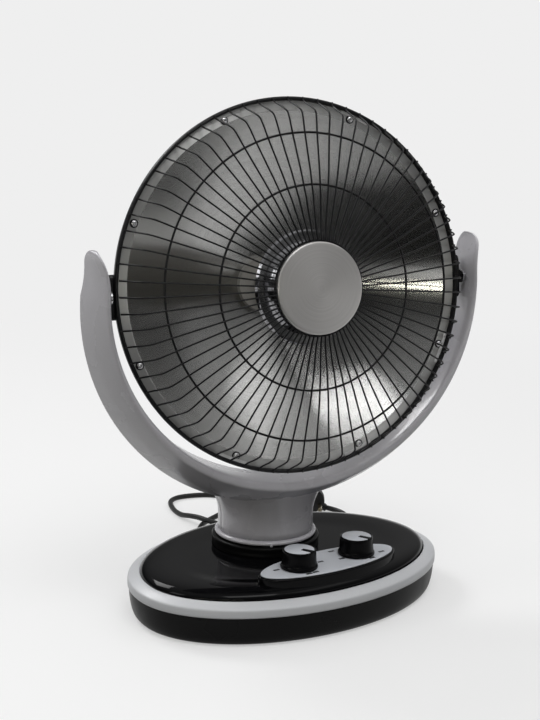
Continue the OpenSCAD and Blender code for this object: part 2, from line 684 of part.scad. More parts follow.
module reflector() color(alu) dish_frame() difference() {
    turned(concat(
        [for (r = bowl_radii) [r, bowl_z(r)]],
        [[flange_out, flange_z], [flange_out, flange_z - sheet_t]],
        [for (i = [bowl_steps:-1:0])
            [bowl_radii[i] + (i == bowl_steps ? 0.8 : 0), bowl_z(bowl_radii[i]) - sheet_t * 1.15]]),
        144);
    for (a = flange_screw_angles) rotate([0, 0, a])
        translate([(bowl_r + flange_out) / 2, 0, flange_z - 3]) cylinder(r = 1.7, h = 6);
}

module guard_rim() color(black) dish_frame() turned([
    [flange_out, rim_back], [rim_r - 0.6, rim_back], [rim_r, rim_back + 1], [rim_r, rim_front - 2],
    [rim_r - 1.2, rim_front - 0.4], [rim_r - 2.6, rim_front], [flange_out + 1, rim_front - 0.4],
    [flange_out, rim_front - 2]], 144);

// Distance from the axis and forward reach along one radial wire.
wire_line = [
    [rim_r + 2.4, rim_front - 4.5], [rim_r + 1.6, rim_front - 0.6], [rim_r - 2, rim_front + wire_r],
    [rim_r - 12.5, ring1_z - 4], [rim_r - 18, ring1_z - 0.5],
    [ring1_r, ring1_z + wire_r + ring_wire_r], [ring2_r, ring2_z + wire_r + ring_wire_r],
    [cup_r + 0.4, cap_z - 1.4], [hub_ring_r + 2.4, cap_z + 1.1],
    [hub_ring_r, cap_z + wire_r + ring_wire_r - 0.5]];

// A wire beside a pivot bracket has no tail behind the rim.
function wire_points(a) = let (beside = abs(sin(a)) * rim_r < bracket_half)
    [for (k = [beside ? 2 : 0:len(wire_line) - 1]) [wire_line[k][0], 0, wire_line[k][1]]];

module guard_wires() color(black) dish_frame() for (i = [0:wire_count - 1])
    let (a = 360 * i / wire_count) rotate([0, 0, a]) tube(wire_points(a), wire_r, 4);

module wire_ring(r, z) translate([0, 0, z]) rotate_extrude($fn = 120)
    translate([r, 0]) circle(r = ring_wire_r, $fn = 24);

module guard_rings() color(black) dish_frame() {
    wire_ring(ring1_r, ring1_z);
    wire_ring(ring2_r, ring2_z);
    wire_ring(hub_ring_r, cap_z - 0.5);
}

// Small steel tongues that hold the guard to the flange beside five of the screws.
clip_angles = [69, 114, 250.5, 294.5, 339.8];

module guard_clips() color(steel) dish_frame() for (a = clip_angles) rotate([0, 0, a - 2.6])
    translate([bowl_r + 1.5, -2.6, flange_z]) cube([flange_out - bowl_r - 1.6, 5.2, 0.8]);

module rim_screws() color([0.3, 0.3, 0.32]) dish_frame() for (a = flange_screw_angles)
    rotate([0, 0, a]) translate([(bowl_r + flange_out) / 2, 0, flange_z]) {
        difference() {
            turned([[0, 0], [2.9, 0], [2.7, 1.1], [1.7, 1.9], [0, 2.1]], 32);
            for (q = [0, 90]) rotate([0, 0, q]) translate([-1.6, -0.35, 1.2]) cube([3.2, 0.7, 2]);
        }
        translate([0, 0, -sheet_t - 5]) cylinder(r = 1.6, h = sheet_t + 5);
    }

plate_z = cap_z - 1;

module hub_plate() color(steel) dish_frame() translate([0, 0, plate_z]) difference() {
    cylinder(r = cap_r, h = 1);
    translate([0, 0, -1]) cylinder(r = 2.1, h = 3);
}

// Chrome cup: a stamped bowl, open to the back, that turns the element's heat onto the dish.
cup_t = 0.8;
cup_side = [[cup_r, cup_z], [cup_r - 1.4, cup_z + 1.2], [cup_r - 3.6, cup_z + 6.5],
    [cup_r - 7, cup_z + 14], [cap_r + 0.2, plate_z - 3.4], [cap_r - 2.6, plate_z]];

module cap_cup() color([0.8, 0.8, 0.82]) dish_frame() difference() {
    turned(concat(cup_side, [[0, plate_z], [0, plate_z - cup_t]],
        [for (i = [len(cup_side) - 1:-1:0])
            [cup_side[i][0] - (i == 0 ? 0.9 : 1), cup_side[i][1] - (i > 3 ? cup_t : 0)]]));
    translate([0, 0, plate_z - 5]) cylinder(r = 2.1, h = 10);
}

cap_h = 3.6;

module centre_cap() color([0.55, 0.55, 0.56]) dish_frame() difference() {
    turned([[0, cap_z], [cap_r - 1.4, cap_z], [cap_r - 0.5, cap_z + 0.8], [cap_r, cap_z + 1.6],
        [cap_r, cap_z + cap_h - 1], [cap_r - 0.8, cap_z + cap_h], [cap_r * 0.72, cap_z + cap_h + 1],
        [cap_r * 0.4, cap_z + cap_h + 1.7], [0, cap_z + cap_h + 2]]);
    translate([0, 0, cap_z - 1]) cylinder(r = 2, h = 4);
}

module cap_screw() color(steel) dish_frame() {
    translate([0, 0, plate_z - cup_t - 2.2]) cylinder(r = 4, h = 2.2);
    translate([0, 0, plate_z - cup_t - 1]) cylinder(r = 2, h = cup_t + 1 + 1 + 2.8);
}

// ---- heating element and rear housing ------------------------------------------------------

element_z = bowl_z(bowl_hole_r);
core_front = cup_z + 6;
ceramic_flange_h = 8;

module ceramic_base() color([0.93, 0.91, 0.86]) dish_frame() difference() {
    union() {
        translate([0, 0, element_z + 0.8]) cylinder(r = bowl_hole_r + 5, h = ceramic_flange_h - 0.8);
        translate([0, 0, element_z - 8]) cylinder(r = bowl_hole_r - slip, h = 9);
    }
    translate([0, 0, element_z - 10]) cylinder(r = 4, h = 40);
}

module ceramic_core() color([0.93, 0.9, 0.84]) dish_frame() difference() {
    translate([0, 0, element_z + ceramic_flange_h])
        cylinder(r = core_r, h = core_front - element_z - ceramic_flange_h);
    translate([0, 0, element_z]) cylinder(r = 4, h = 160);
}

coil_r = core_r + coil_d / 2 + 0.15;
coil_start = core_front - 8 - coil_turns * coil_pitch;
turn_rings = 24;
function coil_point(i) = [coil_r * cos(360 * i / turn_rings), coil_r * sin(360 * i / turn_rings),
    coil_start + coil_pitch * i / turn_rings];
coil_path = concat(
    [[coil_r, -coil_d - 1, coil_start], [coil_r, -coil_d * 0.7, coil_start]],
    [for (i = [0:turn_rings * coil_turns]) coil_point(i)],
    [[coil_r, coil_d * 0.7, coil_start + coil_pitch * coil_turns],
     [coil_r, coil_d + 1, coil_start + coil_pitch * coil_turns]]);

module heating_coil() color([0.45, 0.4, 0.38]) dish_frame() tube(coil_path, coil_d / 2, 6);

// Least distance between points of a path at least skip points apart, less the tube.
function least_gap(path, d, skip) =
    min([for (i = [0:3:len(path) - 1]) for (j = [i + skip:1:len(path) - 1])
        norm(path[i] - path[j])]) - d;
echo(heating_coil_gap = least_gap(coil_path, coil_d, 18));

module terminal_block() color([0.9, 0.88, 0.8]) dish_frame() difference() {
    translate([-18, 16, housing_back + 2.5]) cube([36, 16, 12]);
    for (x = [-9, 9]) translate([x, 24, housing_back + 9]) cylinder(r = 2.6, h = 6);
}

module thermal_cutout() color([0.25, 0.2, 0.18]) dish_frame()
    translate([0, 12 - housing_screw_r, bowl_z(28) - sheet_t * 1.2 - 6]) cylinder(r = 8, h = 6);

housing_r = 62;
housing_screw_r = housing_r - 14;
housing_back = element_z - 30;
housing_rim = bowl_z(housing_r) - 1.6;

module rear_housing() color([0.08, 0.08, 0.08]) dish_frame() difference() {
    turned([[0, housing_back], [housing_r - 16, housing_back], [housing_r - 7, housing_back + 3],
        [housing_r - 2, housing_back + 11], [housing_r, housing_rim],
        [housing_r - 2.6, housing_rim - 0.8], [housing_r - 4.6, housing_back + 12],
        [housing_r - 9, housing_back + 5], [housing_r - 17, housing_back + 2.5],
        [0, housing_back + 2.5]]);
    for (i = [-3:3]) translate([-26 + abs(i) * 3, i * 8 - 1.5, housing_back - 1])
        cube([52 - abs(i) * 6, 3, 6]);
    for (a = [30, 150, 270]) rotate([0, 0, a]) translate([housing_screw_r, 0, housing_back - 1])
        cylinder(r = 1.8, h = 12);
}

module housing_screws() color(steel) dish_frame() for (a = [30, 150, 270])
    rotate([0, 0, a]) translate([housing_screw_r, 0, 0]) {
        translate([0, 0, housing_back - 1.6]) cylinder(r = 3.4, h = 1.6);
        translate([0, 0, housing_back - 1]) cylinder(r = 1.7, h = bowl_z(housing_screw_r) - 2 - housing_back);
    }

// ---- mains lead ----------------------------------------------------------------------------

module cord_gland() color(black) translate([exit_x, base_rear_dep, exit_z]) rotate([-90, 0, 0]) {
    translate([0, 0, -18]) cylinder(r = 7.4, h = 3);
    translate([0, 0, -16]) cylinder(r = 6 - slip, h = 17);
    translate([0, 0, -2.2]) cylinder(r = 8, h = 4.6);
    translate([0, 0, 2.4]) cylinder(r1 = 6.4, r2 = cord_r + 0.9, h = relief_end_y - base_rear_dep - 2.4);
}

module mains_lead() color(black) tube(concat(lead_route, [store_path[0]]), cord_r, 8);

// Stored coil: in towards the middle on the floor, up a layer, and out again above.
store_rings = 24;
function store_point(i) =
    let (half = store_turns / 2, t = i / store_rings, a = store_start + 360 * t,
         inward = min(t, store_turns - t), step = cord_d + lay_gap,
         r = store_r - step * min(inward, half - 0.25),
         rise = step * min(1, max(0, (t - (half - 0.25)) / 0.5)))
    [coil_centre[0] + r * cos(a), coil_centre[1] + r * sin(a), cord_r + 0.1 + rise];
store_run = [-sin(store_start), cos(store_start), 0];
store_path = concat([store_point(0) - cord_d * store_run],
    [for (i = [0:store_rings * store_turns]) store_point(i)],
    [store_point(store_rings * store_turns) + cord_d * store_run]);

module lead_coil() color(black) tube(store_path, cord_r, 6);
echo(lead_coil_gap = least_gap(store_path, cord_d, 12));

module lead_tail() color(black)
    tube(concat([store_path[len(store_path) - 1]], tail_route), cord_r, 8);

// Side-entry plug with its face towards the front left.
module plug_frame() translate(plug_face) rotate([0, 0, plug_yaw]) rotate([0, 90, 0]) children();

relief_fall = 35;
relief_dir = [cos(relief_fall) * sin(plug_yaw), -cos(relief_fall) * cos(plug_yaw),
    -sin(relief_fall)];
relief_len = 20;

module plug_body() color(black) {
    plug_frame() turned([[0, 0], [plug_r - 1, 0], [plug_r, 1], [plug_r, plug_len - 5],
        [plug_r - 2.5, plug_len - 1], [plug_r - 6, plug_len], [0, plug_len]], 48);
    translate(plug_middle) rotate([0, 90 + relief_fall, plug_yaw - 90])
        cylinder(r1 = cord_r + 3, r2 = cord_r + 1, h = relief_len);
}
plug_middle = plug_face + 8 * [cos(plug_yaw), sin(plug_yaw), 0];

module plug_pins() color(steel) plug_frame() for (s = [-9.5, 9.5])
    translate([-s * 0.5, s * 0.86, -19]) cylinder(r = 2.4, h = 19);

// ---- assembly ------------------------------------------------------------------------------

base_pan();
trim_ring();
top_cover();
control_pod();
control_plate();
rubber_feet();
base_screws();
ballast_plate();
heat_switch();
timer_unit();
tip_switch();
tip_plunger();
heat_knob();
heat_knob_cap();
heat_spindle();
timer_knob();
timer_knob_cap();
timer_spindle();
swivel_collar();
thrust_washer();
swing_motor();
drive_pinion();
swivel_tube();
swing_gear();
tube_clip();
neck_ring();
yoke_front_shell();
arm_cover_left();
arm_cover_right();
neck_rear_cover();
yoke_screws();
pivot_nuts();
pivot_pins();
pivot_brackets();
reflector();
guard_rim();
guard_wires();
guard_rings();
guard_clips();
rim_screws();
hub_plate();
cap_cup();
centre_cap();
cap_screw();
ceramic_base();
ceramic_core();
heating_coil();
terminal_block();
thermal_cutout();
rear_housing();
housing_screws();
cord_gland();
mains_lead();
lead_coil();
lead_tail();
plug_body();
plug_pins();
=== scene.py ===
# %% [markdown]
# # A parabolic heater in a plain studio
# This lesson dresses a dish heater: a spun metal reflector behind a wire guard, tilting in a
# pale moulded yoke that swivels on an oval black base. The solid model is loaded first and
# stays where it is; every new piece is made round it, in the same frame and in metres.
# Lengths below are written in millimetres, because that is how such a product is drawn, and
# each frame's matrix turns them into metres.

import json
import math

import bmesh
import bpy
from mathutils import Matrix, Quaternion, Vector


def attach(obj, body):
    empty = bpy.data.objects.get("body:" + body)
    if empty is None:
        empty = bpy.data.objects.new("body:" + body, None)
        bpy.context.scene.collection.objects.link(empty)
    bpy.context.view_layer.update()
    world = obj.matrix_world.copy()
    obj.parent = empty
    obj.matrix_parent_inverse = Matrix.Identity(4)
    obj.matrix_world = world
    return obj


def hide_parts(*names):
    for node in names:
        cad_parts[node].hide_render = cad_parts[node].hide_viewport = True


MM = 0.001
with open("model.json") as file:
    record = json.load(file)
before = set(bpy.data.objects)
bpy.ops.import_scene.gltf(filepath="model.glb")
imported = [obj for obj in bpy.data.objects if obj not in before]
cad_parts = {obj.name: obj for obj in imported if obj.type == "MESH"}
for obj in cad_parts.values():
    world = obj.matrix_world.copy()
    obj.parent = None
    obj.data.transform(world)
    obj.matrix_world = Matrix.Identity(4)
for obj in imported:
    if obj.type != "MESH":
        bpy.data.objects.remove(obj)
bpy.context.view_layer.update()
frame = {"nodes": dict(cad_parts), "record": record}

# %% [markdown]
# ## The camera
# The photograph looks slightly down on the heater from its front left. A camera can be placed
# by eye, but here its angles, distance and focal length were solved from points whose real
# positions are known, so that the picture lines up with the photograph.


# %% Camera
def outward(azimuth, elevation):
    """Unit vector out from the heater. Azimuth 0 points to its front and 90 to its right."""
    return Vector((math.sin(azimuth) * math.cos(elevation),
                   -math.cos(azimuth) * math.cos(elevation), math.sin(elevation)))


def linked(name, data):
    """A new object with that data, linked to the scene."""
    thing = bpy.data.objects.new(name, data)
    bpy.context.scene.collection.objects.link(thing)
    return thing


VIEW_AZIMUTH, VIEW_ELEVATION, VIEW_ROLL = map(math.radians, (-35.51, 12.61, 0.715))
VIEW_DISTANCE = 1.5044
LOOK_AT = Vector((-0.0245, 0.0, 0.2510))
SENSOR_WIDTH, FOCAL_LENGTH = 36, 76.8
FARTHEST = 60
back = outward(VIEW_AZIMUTH, VIEW_ELEVATION)
camera = linked("camera", bpy.data.cameras.new("camera"))
camera.location = LOOK_AT + back * VIEW_DISTANCE
camera.rotation_mode = "QUATERNION"
camera.rotation_quaternion = (-back).to_track_quat("-Z", "Y") @ Quaternion(
    (0, 0, 1), VIEW_ROLL
)
camera.data.sensor_width = SENSOR_WIDTH
camera.data.lens = FOCAL_LENGTH
camera.data.clip_end = FARTHEST
bpy.context.scene.camera = camera
print("camera at", [round(x, 3) for x in camera.location])

# %% [markdown]
# ## The mains lead
# A lead is one length of something flexible. It could be a mesh tube, but a curve with a round
# bevel keeps its centreline as plain points, so its length can be measured and its route
# changed. It leaves the base behind, falls to the floor, makes the loose loop that shows at
# the left of the neck, and its unseen rest is wound into a coil with the plug beside it.

# %% Lead: the route's points
LEAD_D = 6.0
LEAD_ROUTE = [
    (10, 157, 14), (10, 163, 14), (11, 172, 11.5), (14, 184, 7.5), (19, 195, 4.2),
    (27, 208, 3.1), (36, 220, 3.1), (48, 232, 3.1), (61, 240, 3.1), (76, 247, 3.1),
    (90, 254, 3.1), (103, 263, 3.1), (114, 273, 3.1), (122, 286, 3.1), (125, 299, 3.1),
    (122, 312, 3.1), (112, 323, 3.1), (94, 331, 3.1), (76, 333, 3.1),
    (62, 325, 3.1), (53, 309, 3.1), (47, 291, 3.1), (44, 272, 4.2), (44, 255, 7.6),
    (46, 239, 9.7), (49, 225.5, 9.5), (56.5, 213.5, 7.2), (68, 206, 4.4), (81, 205.5, 3.1),
    (91.5, 211, 3.1), (99.3, 220.5, 3.1), (106.4, 229.8, 3.1), (114.8, 236.3, 3.1),
    (124.8, 238.8, 3.1), (131.5, 238, 3.1),
]
TAIL_ROUTE = [
    (153.8, 225.4, 10.3), (160.5, 219.5, 9.4), (165, 210.5, 6.9), (166.3, 199, 4.3),
    (165.6, 186, 3.1), (165.8, 174.2, 3.1), (169.5, 165.4, 3.1), (176.5, 158.9, 3.1),
    (185.6, 156.1, 3.1), (195, 157.3, 3.1), (203.1, 162.4, 3.1), (208.2, 170.5, 3.1),
    (209.5, 179, 3.1), (208.8, 187, 3.3), (206.6, 193.5, 3.7), (204.1, 198.5, 4.2),
]
COIL_CENTRE, COIL_R, COIL_TURNS, COIL_START = (162, 265), 38, 4, -120
LAY_GAP, FLOOR_GAP = 1.2, 0.1
STEPS_PER_TURN = 24
CLIMB = 0.5  # of a turn, in which the lead climbs to the upper layer


def stored_point(i):
    """Point i of the stored coil: inwards on the floor, up one layer, and out again."""
    turns = i / STEPS_PER_TURN
    foot = (COIL_TURNS - CLIMB) / 2
    step = LEAD_D + LAY_GAP
    angle = math.radians(COIL_START + 360 * turns)
    r = COIL_R - step * min(turns, COIL_TURNS - turns, foot)
    rise = step * min(1, max(0, (turns - foot) / CLIMB))
    return (
        COIL_CENTRE[0] + r * math.cos(angle),
        COIL_CENTRE[1] + r * math.sin(angle),
        LEAD_D / 2 + FLOOR_GAP + rise,
    )


run_on = Vector((-math.sin(math.radians(COIL_START)), math.cos(math.radians(COIL_START)), 0))
stored = [stored_point(i) for i in range(STEPS_PER_TURN * COIL_TURNS + 1)]
stored = (
    [Vector(stored[0]) - LEAD_D * run_on]
    + [Vector(p) for p in stored]
    + [Vector(stored[-1]) + LEAD_D * run_on]
)
route = [Vector(p) for p in LEAD_ROUTE] + stored + [Vector(p) for p in TAIL_ROUTE]
print("route points:", len(route))


# %% Lead: a smooth curve through the points
def smooth_line(points, cuts):
    """A line through all the points, each stretch cut into a Catmull-Rom arc."""
    ends = [2 * points[0] - points[1]] + points + [2 * points[-1] - points[-2]]
    line = []
    for a, b, c, d in zip(ends, ends[1:], ends[2:], ends[3:]):
        for k in range(cuts):
            t = k / cuts
            line.append(
                0.5
                * (
                    2 * b
                    + (c - a) * t
                    + (2 * a - 5 * b + 4 * c - d) * t * t
                    + (3 * b - a - 3 * c + d) * t**3
                )
            )
    return line + [points[-1]]


def curve_along(name, line, radius, resolution):
    """A round rod of that radius along a line of points in metres."""
    data = bpy.data.curves.new(name, "CURVE")
    data.dimensions = "3D"
    data.bevel_depth = 1.0
    data.bevel_resolution = resolution
    data.use_fill_caps = True
    spline = data.splines.new("POLY")
    spline.points.add(len(line) - 1)
    for point, p in zip(spline.points, line):
        point.co = (*p, 1)
        point.radius = radius
    return linked(name, data)


lead_line = [p * MM for p in smooth_line(route, cuts=4)]
mains_cord = curve_along("mains_cord", lead_line, radius=LEAD_D / 2000, resolution=3)
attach(mains_cord, "base")
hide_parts("mains_lead", "lead_coil", "lead_tail")

# %% [markdown]
# ## Helpers for turned and moulded shapes
# Most of this heater is either turned about an axis or moulded with one section that changes
# along a line. Both could be typed in as lists of faces. Spinning a profile, or extruding a
# ring of edges from one station to the next, is shorter, and the operators keep the faces
# joined. Each helper works in millimetres, and one matrix puts its mesh in its place.

# %% Frames of the yoke and the dish
SCALE = Matrix.Scale(MM, 4)
NECK_Y = 39.1
YOKE_YAW = -11.5
PIVOT_Y, PIVOT_Z = 61.7, 326.1
DISH_TILT = 7.6
yoke_frame = (
    SCALE
    @ Matrix.Translation((0, NECK_Y, 0))
    @ Matrix.Rotation(math.radians(YOKE_YAW), 4, "Z")
)
pivot_frame = yoke_frame @ Matrix.Translation((0, -PIVOT_Y, PIVOT_Z))
# Dish frame: x to the right, y up, z forward along the dish's axis.
dish_frame = pivot_frame @ Matrix.Rotation(math.radians(90 - DISH_TILT), 4, "X")
collar_frame = SCALE @ Matrix.Translation((0, NECK_Y, 0))
print("tilt axis at", [round(x, 4) for x in pivot_frame.translation])


# %% Making and placing a mesh
def place(bm, name, body, material, matrix, stands_for=(), sharp=38):
    """Ends a bmesh: joins its seams, turns its faces out, shades it and rides it on a body."""
    bmesh.ops.remove_doubles(bm, verts=bm.verts, dist=1e-4)
    bmesh.ops.recalc_face_normals(bm, faces=bm.faces)
    bmesh.ops.transform(bm, matrix=matrix, verts=bm.verts)
    mesh = bpy.data.meshes.new(name)
    bm.to_mesh(mesh)
    bm.free()
    mesh.shade_smooth()
    mesh.set_sharp_from_angle(angle=math.radians(sharp))
    piece = linked(name, mesh)
    mesh.materials.append(material)
    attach(piece, body)
    if stands_for:
        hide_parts(*stands_for)
    print(f"{name}: {len(mesh.polygons)} faces")
    return piece


def spun(bm, profile, steps=128, closed=False):
    """Spins a profile of (radius, height) pairs round the z axis."""
    verts = [bm.verts.new((r, 0, z)) for r, z in profile]
    pairs = list(zip(verts, verts[1:])) + ([(verts[-1], verts[0])] if closed else [])
    edges = [bm.edges.new(pair) for pair in pairs]
    bmesh.ops.spin(
        bm,
        geom=verts + edges,
        cent=(0, 0, 0),
        axis=(0, 0, 1),
        angle=2 * math.pi,
        steps=steps,
        use_merge=True,
    )


def next_row(bm, verts, edges, points, closed=True):
    """Extrudes a row of edges and moves its new vertices to the next row of points."""
    out = bmesh.ops.extrude_edge_only(bm, edges=edges)["geom"]
    fresh = {g for g in out if isinstance(g, bmesh.types.BMVert)}
    verts = [
        next(e.other_vert(v) for e in v.link_edges if e.other_vert(v) in fresh) for v in verts
    ]
    for v, p in zip(verts, points):
        v.co = p
    after = verts[1:] + (verts[:1] if closed else [])
    return verts, [bm.edges.get(pair) for pair in zip(verts, after)]


def drawn(bm, rings, joined=False):
    """Extrudes a ring of edges through all the rings of points, and puts a lid on each end.

    Joined rings run on into the first one instead, and need no lids.
    """
    verts = [bm.verts.new(p) for p in rings[0]]
    edges = [bm.edges.new(pair) for pair in zip(verts, verts[1:] + verts[:1])]
    if not joined:
        bmesh.ops.contextual_create(bm, geom=edges)
    for ring in rings[1:] + (rings[:1] if joined else []):
        verts, edges = next_row(bm, verts, edges, ring)
    if not joined:
        bmesh.ops.contextual_create(bm, geom=edges)


def block(bm, matrix, taper=1.0):
    """A unit cube, narrowed at its low x by the taper, then placed by the matrix."""
    made = bmesh.ops.create_cube(bm, size=1)["verts"]
    for v in made:
        v.co.y *= 1.0 if v.co.x > 0 else taper
    bmesh.ops.transform(bm, matrix=matrix, verts=made)


def eased(points, rounds=2, closed=False, keep=()):
    """Cuts the corners of a line of points, except the first, the last and those to keep."""
    points = [Vector(p) for p in points]
    kept = {tuple(points[i]) for i in keep}
    for _ in range(rounds):
        n = len(points)
        line = []
        for i, p in enumerate(points):
            before, after = points[i - 1], points[(i + 1) % n]
            if (not closed and i in (0, n - 1)) or tuple(p) in kept:
                line.append(p)
            else:
                line += [p.lerp(before, 0.25), p.lerp(after, 0.25)]
        points = line
    return points


# %% [markdown]
# ## Effects that several finishes share
# A moulded skin is never quite even: it has a fine grain and slightly duller and shinier
# places. Metallic paint has flakes, and a spun sheet has circular lines. Each effect could be
# built again in every material; one node group with named inputs keeps them alike.

# %% Node helpers


def new_group(name, inputs, outputs):
    """An empty shader node group with float or colour inputs and its named outputs."""
    group = bpy.data.node_groups.new(name, "ShaderNodeTree")
    for socket, kind, value in inputs:
        made = group.interface.new_socket(
            name=socket, in_out="INPUT", socket_type="NodeSocket" + kind
        )
        made.default_value = value
    for socket, kind in outputs:
        group.interface.new_socket(
            name=socket, in_out="OUTPUT", socket_type="NodeSocket" + kind
        )
    start = group.nodes.new("NodeGroupInput")
    end = group.nodes.new("NodeGroupOutput")
    return group, start.outputs, end.inputs


def add(tree, kind, links=(), **values):
    """A node with its values set and its inputs linked, by socket name or number."""
    node = tree.nodes.new("ShaderNode" + kind)
    for key, value in values.items():
        setattr(node, key, value)
    for socket, source in dict(links).items():
        if isinstance(source, bpy.types.NodeSocket):
            tree.links.new(source, node.inputs[socket])
        else:
            node.inputs[socket].default_value = source
    return node


def remap(tree, value, low, high, to_low, to_high):
    """Brings a value from one range to another, held at its ends."""
    node = add(
        tree, "MapRange", {"Value": value, "From Min": low, "From Max": high,
                           "To Min": to_low, "To Max": to_high},
    )
    return node.outputs["Result"]


# %% The moulded skin
GRAIN_HEIGHT = 0.0002
skin_group, skin_in, skin_out = new_group(
    "moulded_skin",
    [("Grain Scale", "Float", 1500.0), ("Grain", "Float", 0.1),
     ("Smooth", "Float", 0.3), ("Dull", "Float", 0.4)],
    [("Roughness", "Float"), ("Normal", "Vector")],
)
place_of = add(skin_group, "TexCoord").outputs["Object"]
grain = add(skin_group, "TexNoise", {"Vector": place_of, "Scale": skin_in["Grain Scale"],
                                     "Detail": 3.0})
handled = add(skin_group, "TexNoise", {"Vector": place_of, "Scale": 22.0, "Detail": 4.0})
share = remap(skin_group, handled.outputs["Fac"], 0.35, 0.65, 0.0, 1.0)
dulled = add(skin_group, "Mix", {0: share, 2: skin_in["Smooth"], 3: skin_in["Dull"]},
             data_type="FLOAT")
bumped = add(skin_group, "Bump", {"Height": grain.outputs["Fac"], "Strength": skin_in["Grain"],
                                  "Distance": GRAIN_HEIGHT})
skin_group.links.new(dulled.outputs[0], skin_out["Roughness"])
skin_group.links.new(bumped.outputs["Normal"], skin_out["Normal"])
print("group:", skin_group.name)

# %% Metal flakes in paint
flake_group, flake_in, flake_out = new_group(
    "paint_flakes",
    [("Paint", "Color", (0.7, 0.7, 0.72, 1)), ("Shade", "Color", (0.6, 0.6, 0.62, 1)),
     ("Flake Scale", "Float", 1800.0)],
    [("Color", "Color")],
)
place_of = add(flake_group, "TexCoord").outputs["Object"]
flakes = add(flake_group, "TexVoronoi", {"Vector": place_of, "Scale": flake_in["Flake Scale"]})
cloud = add(flake_group, "TexNoise", {"Vector": place_of, "Scale": 9.0, "Detail": 3.0})
speck = add(flake_group, "Math", {0: flakes.outputs["Distance"], 1: cloud.outputs["Fac"]},
            operation="MULTIPLY")
speck_share = remap(flake_group, speck.outputs[0], 0.05, 0.45, 0.0, 1.0)
flaked = add(flake_group, "Mix", {0: speck_share, 6: flake_in["Paint"], 7: flake_in["Shade"]},
             data_type="RGBA")
flake_group.links.new(flaked.outputs[2], flake_out["Color"])
print("group:", flake_group.name)

# %% Circular lines of a spun sheet
# The sheet's own map, made further down, has the distance from the axis as u and the angle
# as v, so noise that is stretched along v turns into circles.
spun_group, spun_in, spun_out = new_group(
    "spun_lines",
    [("Bright", "Color", (0.7, 0.7, 0.69, 1)), ("Dark", "Color", (0.5, 0.5, 0.5, 1)),
     ("Lines", "Float", 1200.0), ("Depth", "Float", 0.1),
     ("Smooth", "Float", 0.3), ("Dull", "Float", 0.4)],
    [("Color", "Color"), ("Roughness", "Float"), ("Normal", "Vector")],
)
sheet_map = add(spun_group, "UVMap", uv_map="spun").outputs["UV"]
split = add(spun_group, "SeparateXYZ", {0: sheet_map})
along = add(spun_group, "Math", {0: split.outputs["X"], 1: spun_in["Lines"]},
            operation="MULTIPLY")
around = add(spun_group, "Math", {0: split.outputs["Y"], 1: 2.0}, operation="MULTIPLY")
line_place = add(spun_group, "CombineXYZ", {0: along.outputs[0], 1: around.outputs[0]})
turned_lines = add(spun_group, "TexNoise", {"Vector": line_place.outputs[0], "Scale": 1.0,
                                            "Detail": 2.0})
turned_share = remap(spun_group, turned_lines.outputs["Fac"], 0.3, 0.7, 0.0, 1.0)
lined = add(spun_group, "Mix", {0: turned_share, 6: spun_in["Bright"], 7: spun_in["Dark"]},
            data_type="RGBA")
line_dull = add(spun_group, "Mix", {0: turned_share, 2: spun_in["Smooth"],
                                    3: spun_in["Dull"]}, data_type="FLOAT")
line_bump = add(spun_group, "Bump", {"Height": turned_lines.outputs["Fac"],
                                     "Strength": spun_in["Depth"], "Distance": GRAIN_HEIGHT})
spun_group.links.new(lined.outputs[2], spun_out["Color"])
spun_group.links.new(line_dull.outputs[0], spun_out["Roughness"])
spun_group.links.new(line_bump.outputs["Normal"], spun_out["Normal"])
print("group:", spun_group.name)

# %% [markdown]
# ## Finishes
# One material per finish of the real heater. Colours are linear values, and they were set
# against the photograph under plain light. Black plastic is never quite black, and the pale
# plastic is a slightly cool grey with fine flakes rather than bare metal.


# %% Moulded, painted and spun materials
BLEND, FLANGE_DULL = 0.0004, 0.5


def shader_of(name):
    """A new material, its node tree and its Principled shader."""
    material = bpy.data.materials.new(name)
    material.use_nodes = True
    return material, material.node_tree, material.node_tree.nodes["Principled BSDF"]


def use_group(tree, group, values):
    """Places a node group in a material with its own values."""
    node = tree.nodes.new("ShaderNodeGroup")
    node.node_tree = group
    for key, value in values.items():
        node.inputs[key].default_value = value
    return node


def rgb(r, g, b):
    """A colour socket's value, with its alpha."""
    return (r, g, b, 1)


def moulded(name, color, smooth, dull, grain=0.1, scale=1500.0, flake=None, metallic=0.0,
            **sockets):
    """Plastic, rubber, ceramic or plain metal with an even grain."""
    material, tree, bsdf = shader_of(name)
    bsdf.inputs["Base Color"].default_value = rgb(*color)
    bsdf.inputs["Metallic"].default_value = metallic
    for socket, value in sockets.items():
        bsdf.inputs[socket.replace("_", " ")].default_value = value
    skin = use_group(tree, skin_group, {"Grain Scale": scale, "Grain": grain,
                                        "Smooth": smooth, "Dull": dull})
    tree.links.new(skin.outputs["Roughness"], bsdf.inputs["Roughness"])
    tree.links.new(skin.outputs["Normal"], bsdf.inputs["Normal"])
    paint = use_group(tree, flake_group, {"Paint": rgb(*color),
                                          "Shade": rgb(*(flake or [c * 0.8 for c in color]))})
    tree.links.new(paint.outputs["Color"], bsdf.inputs["Base Color"])
    return material


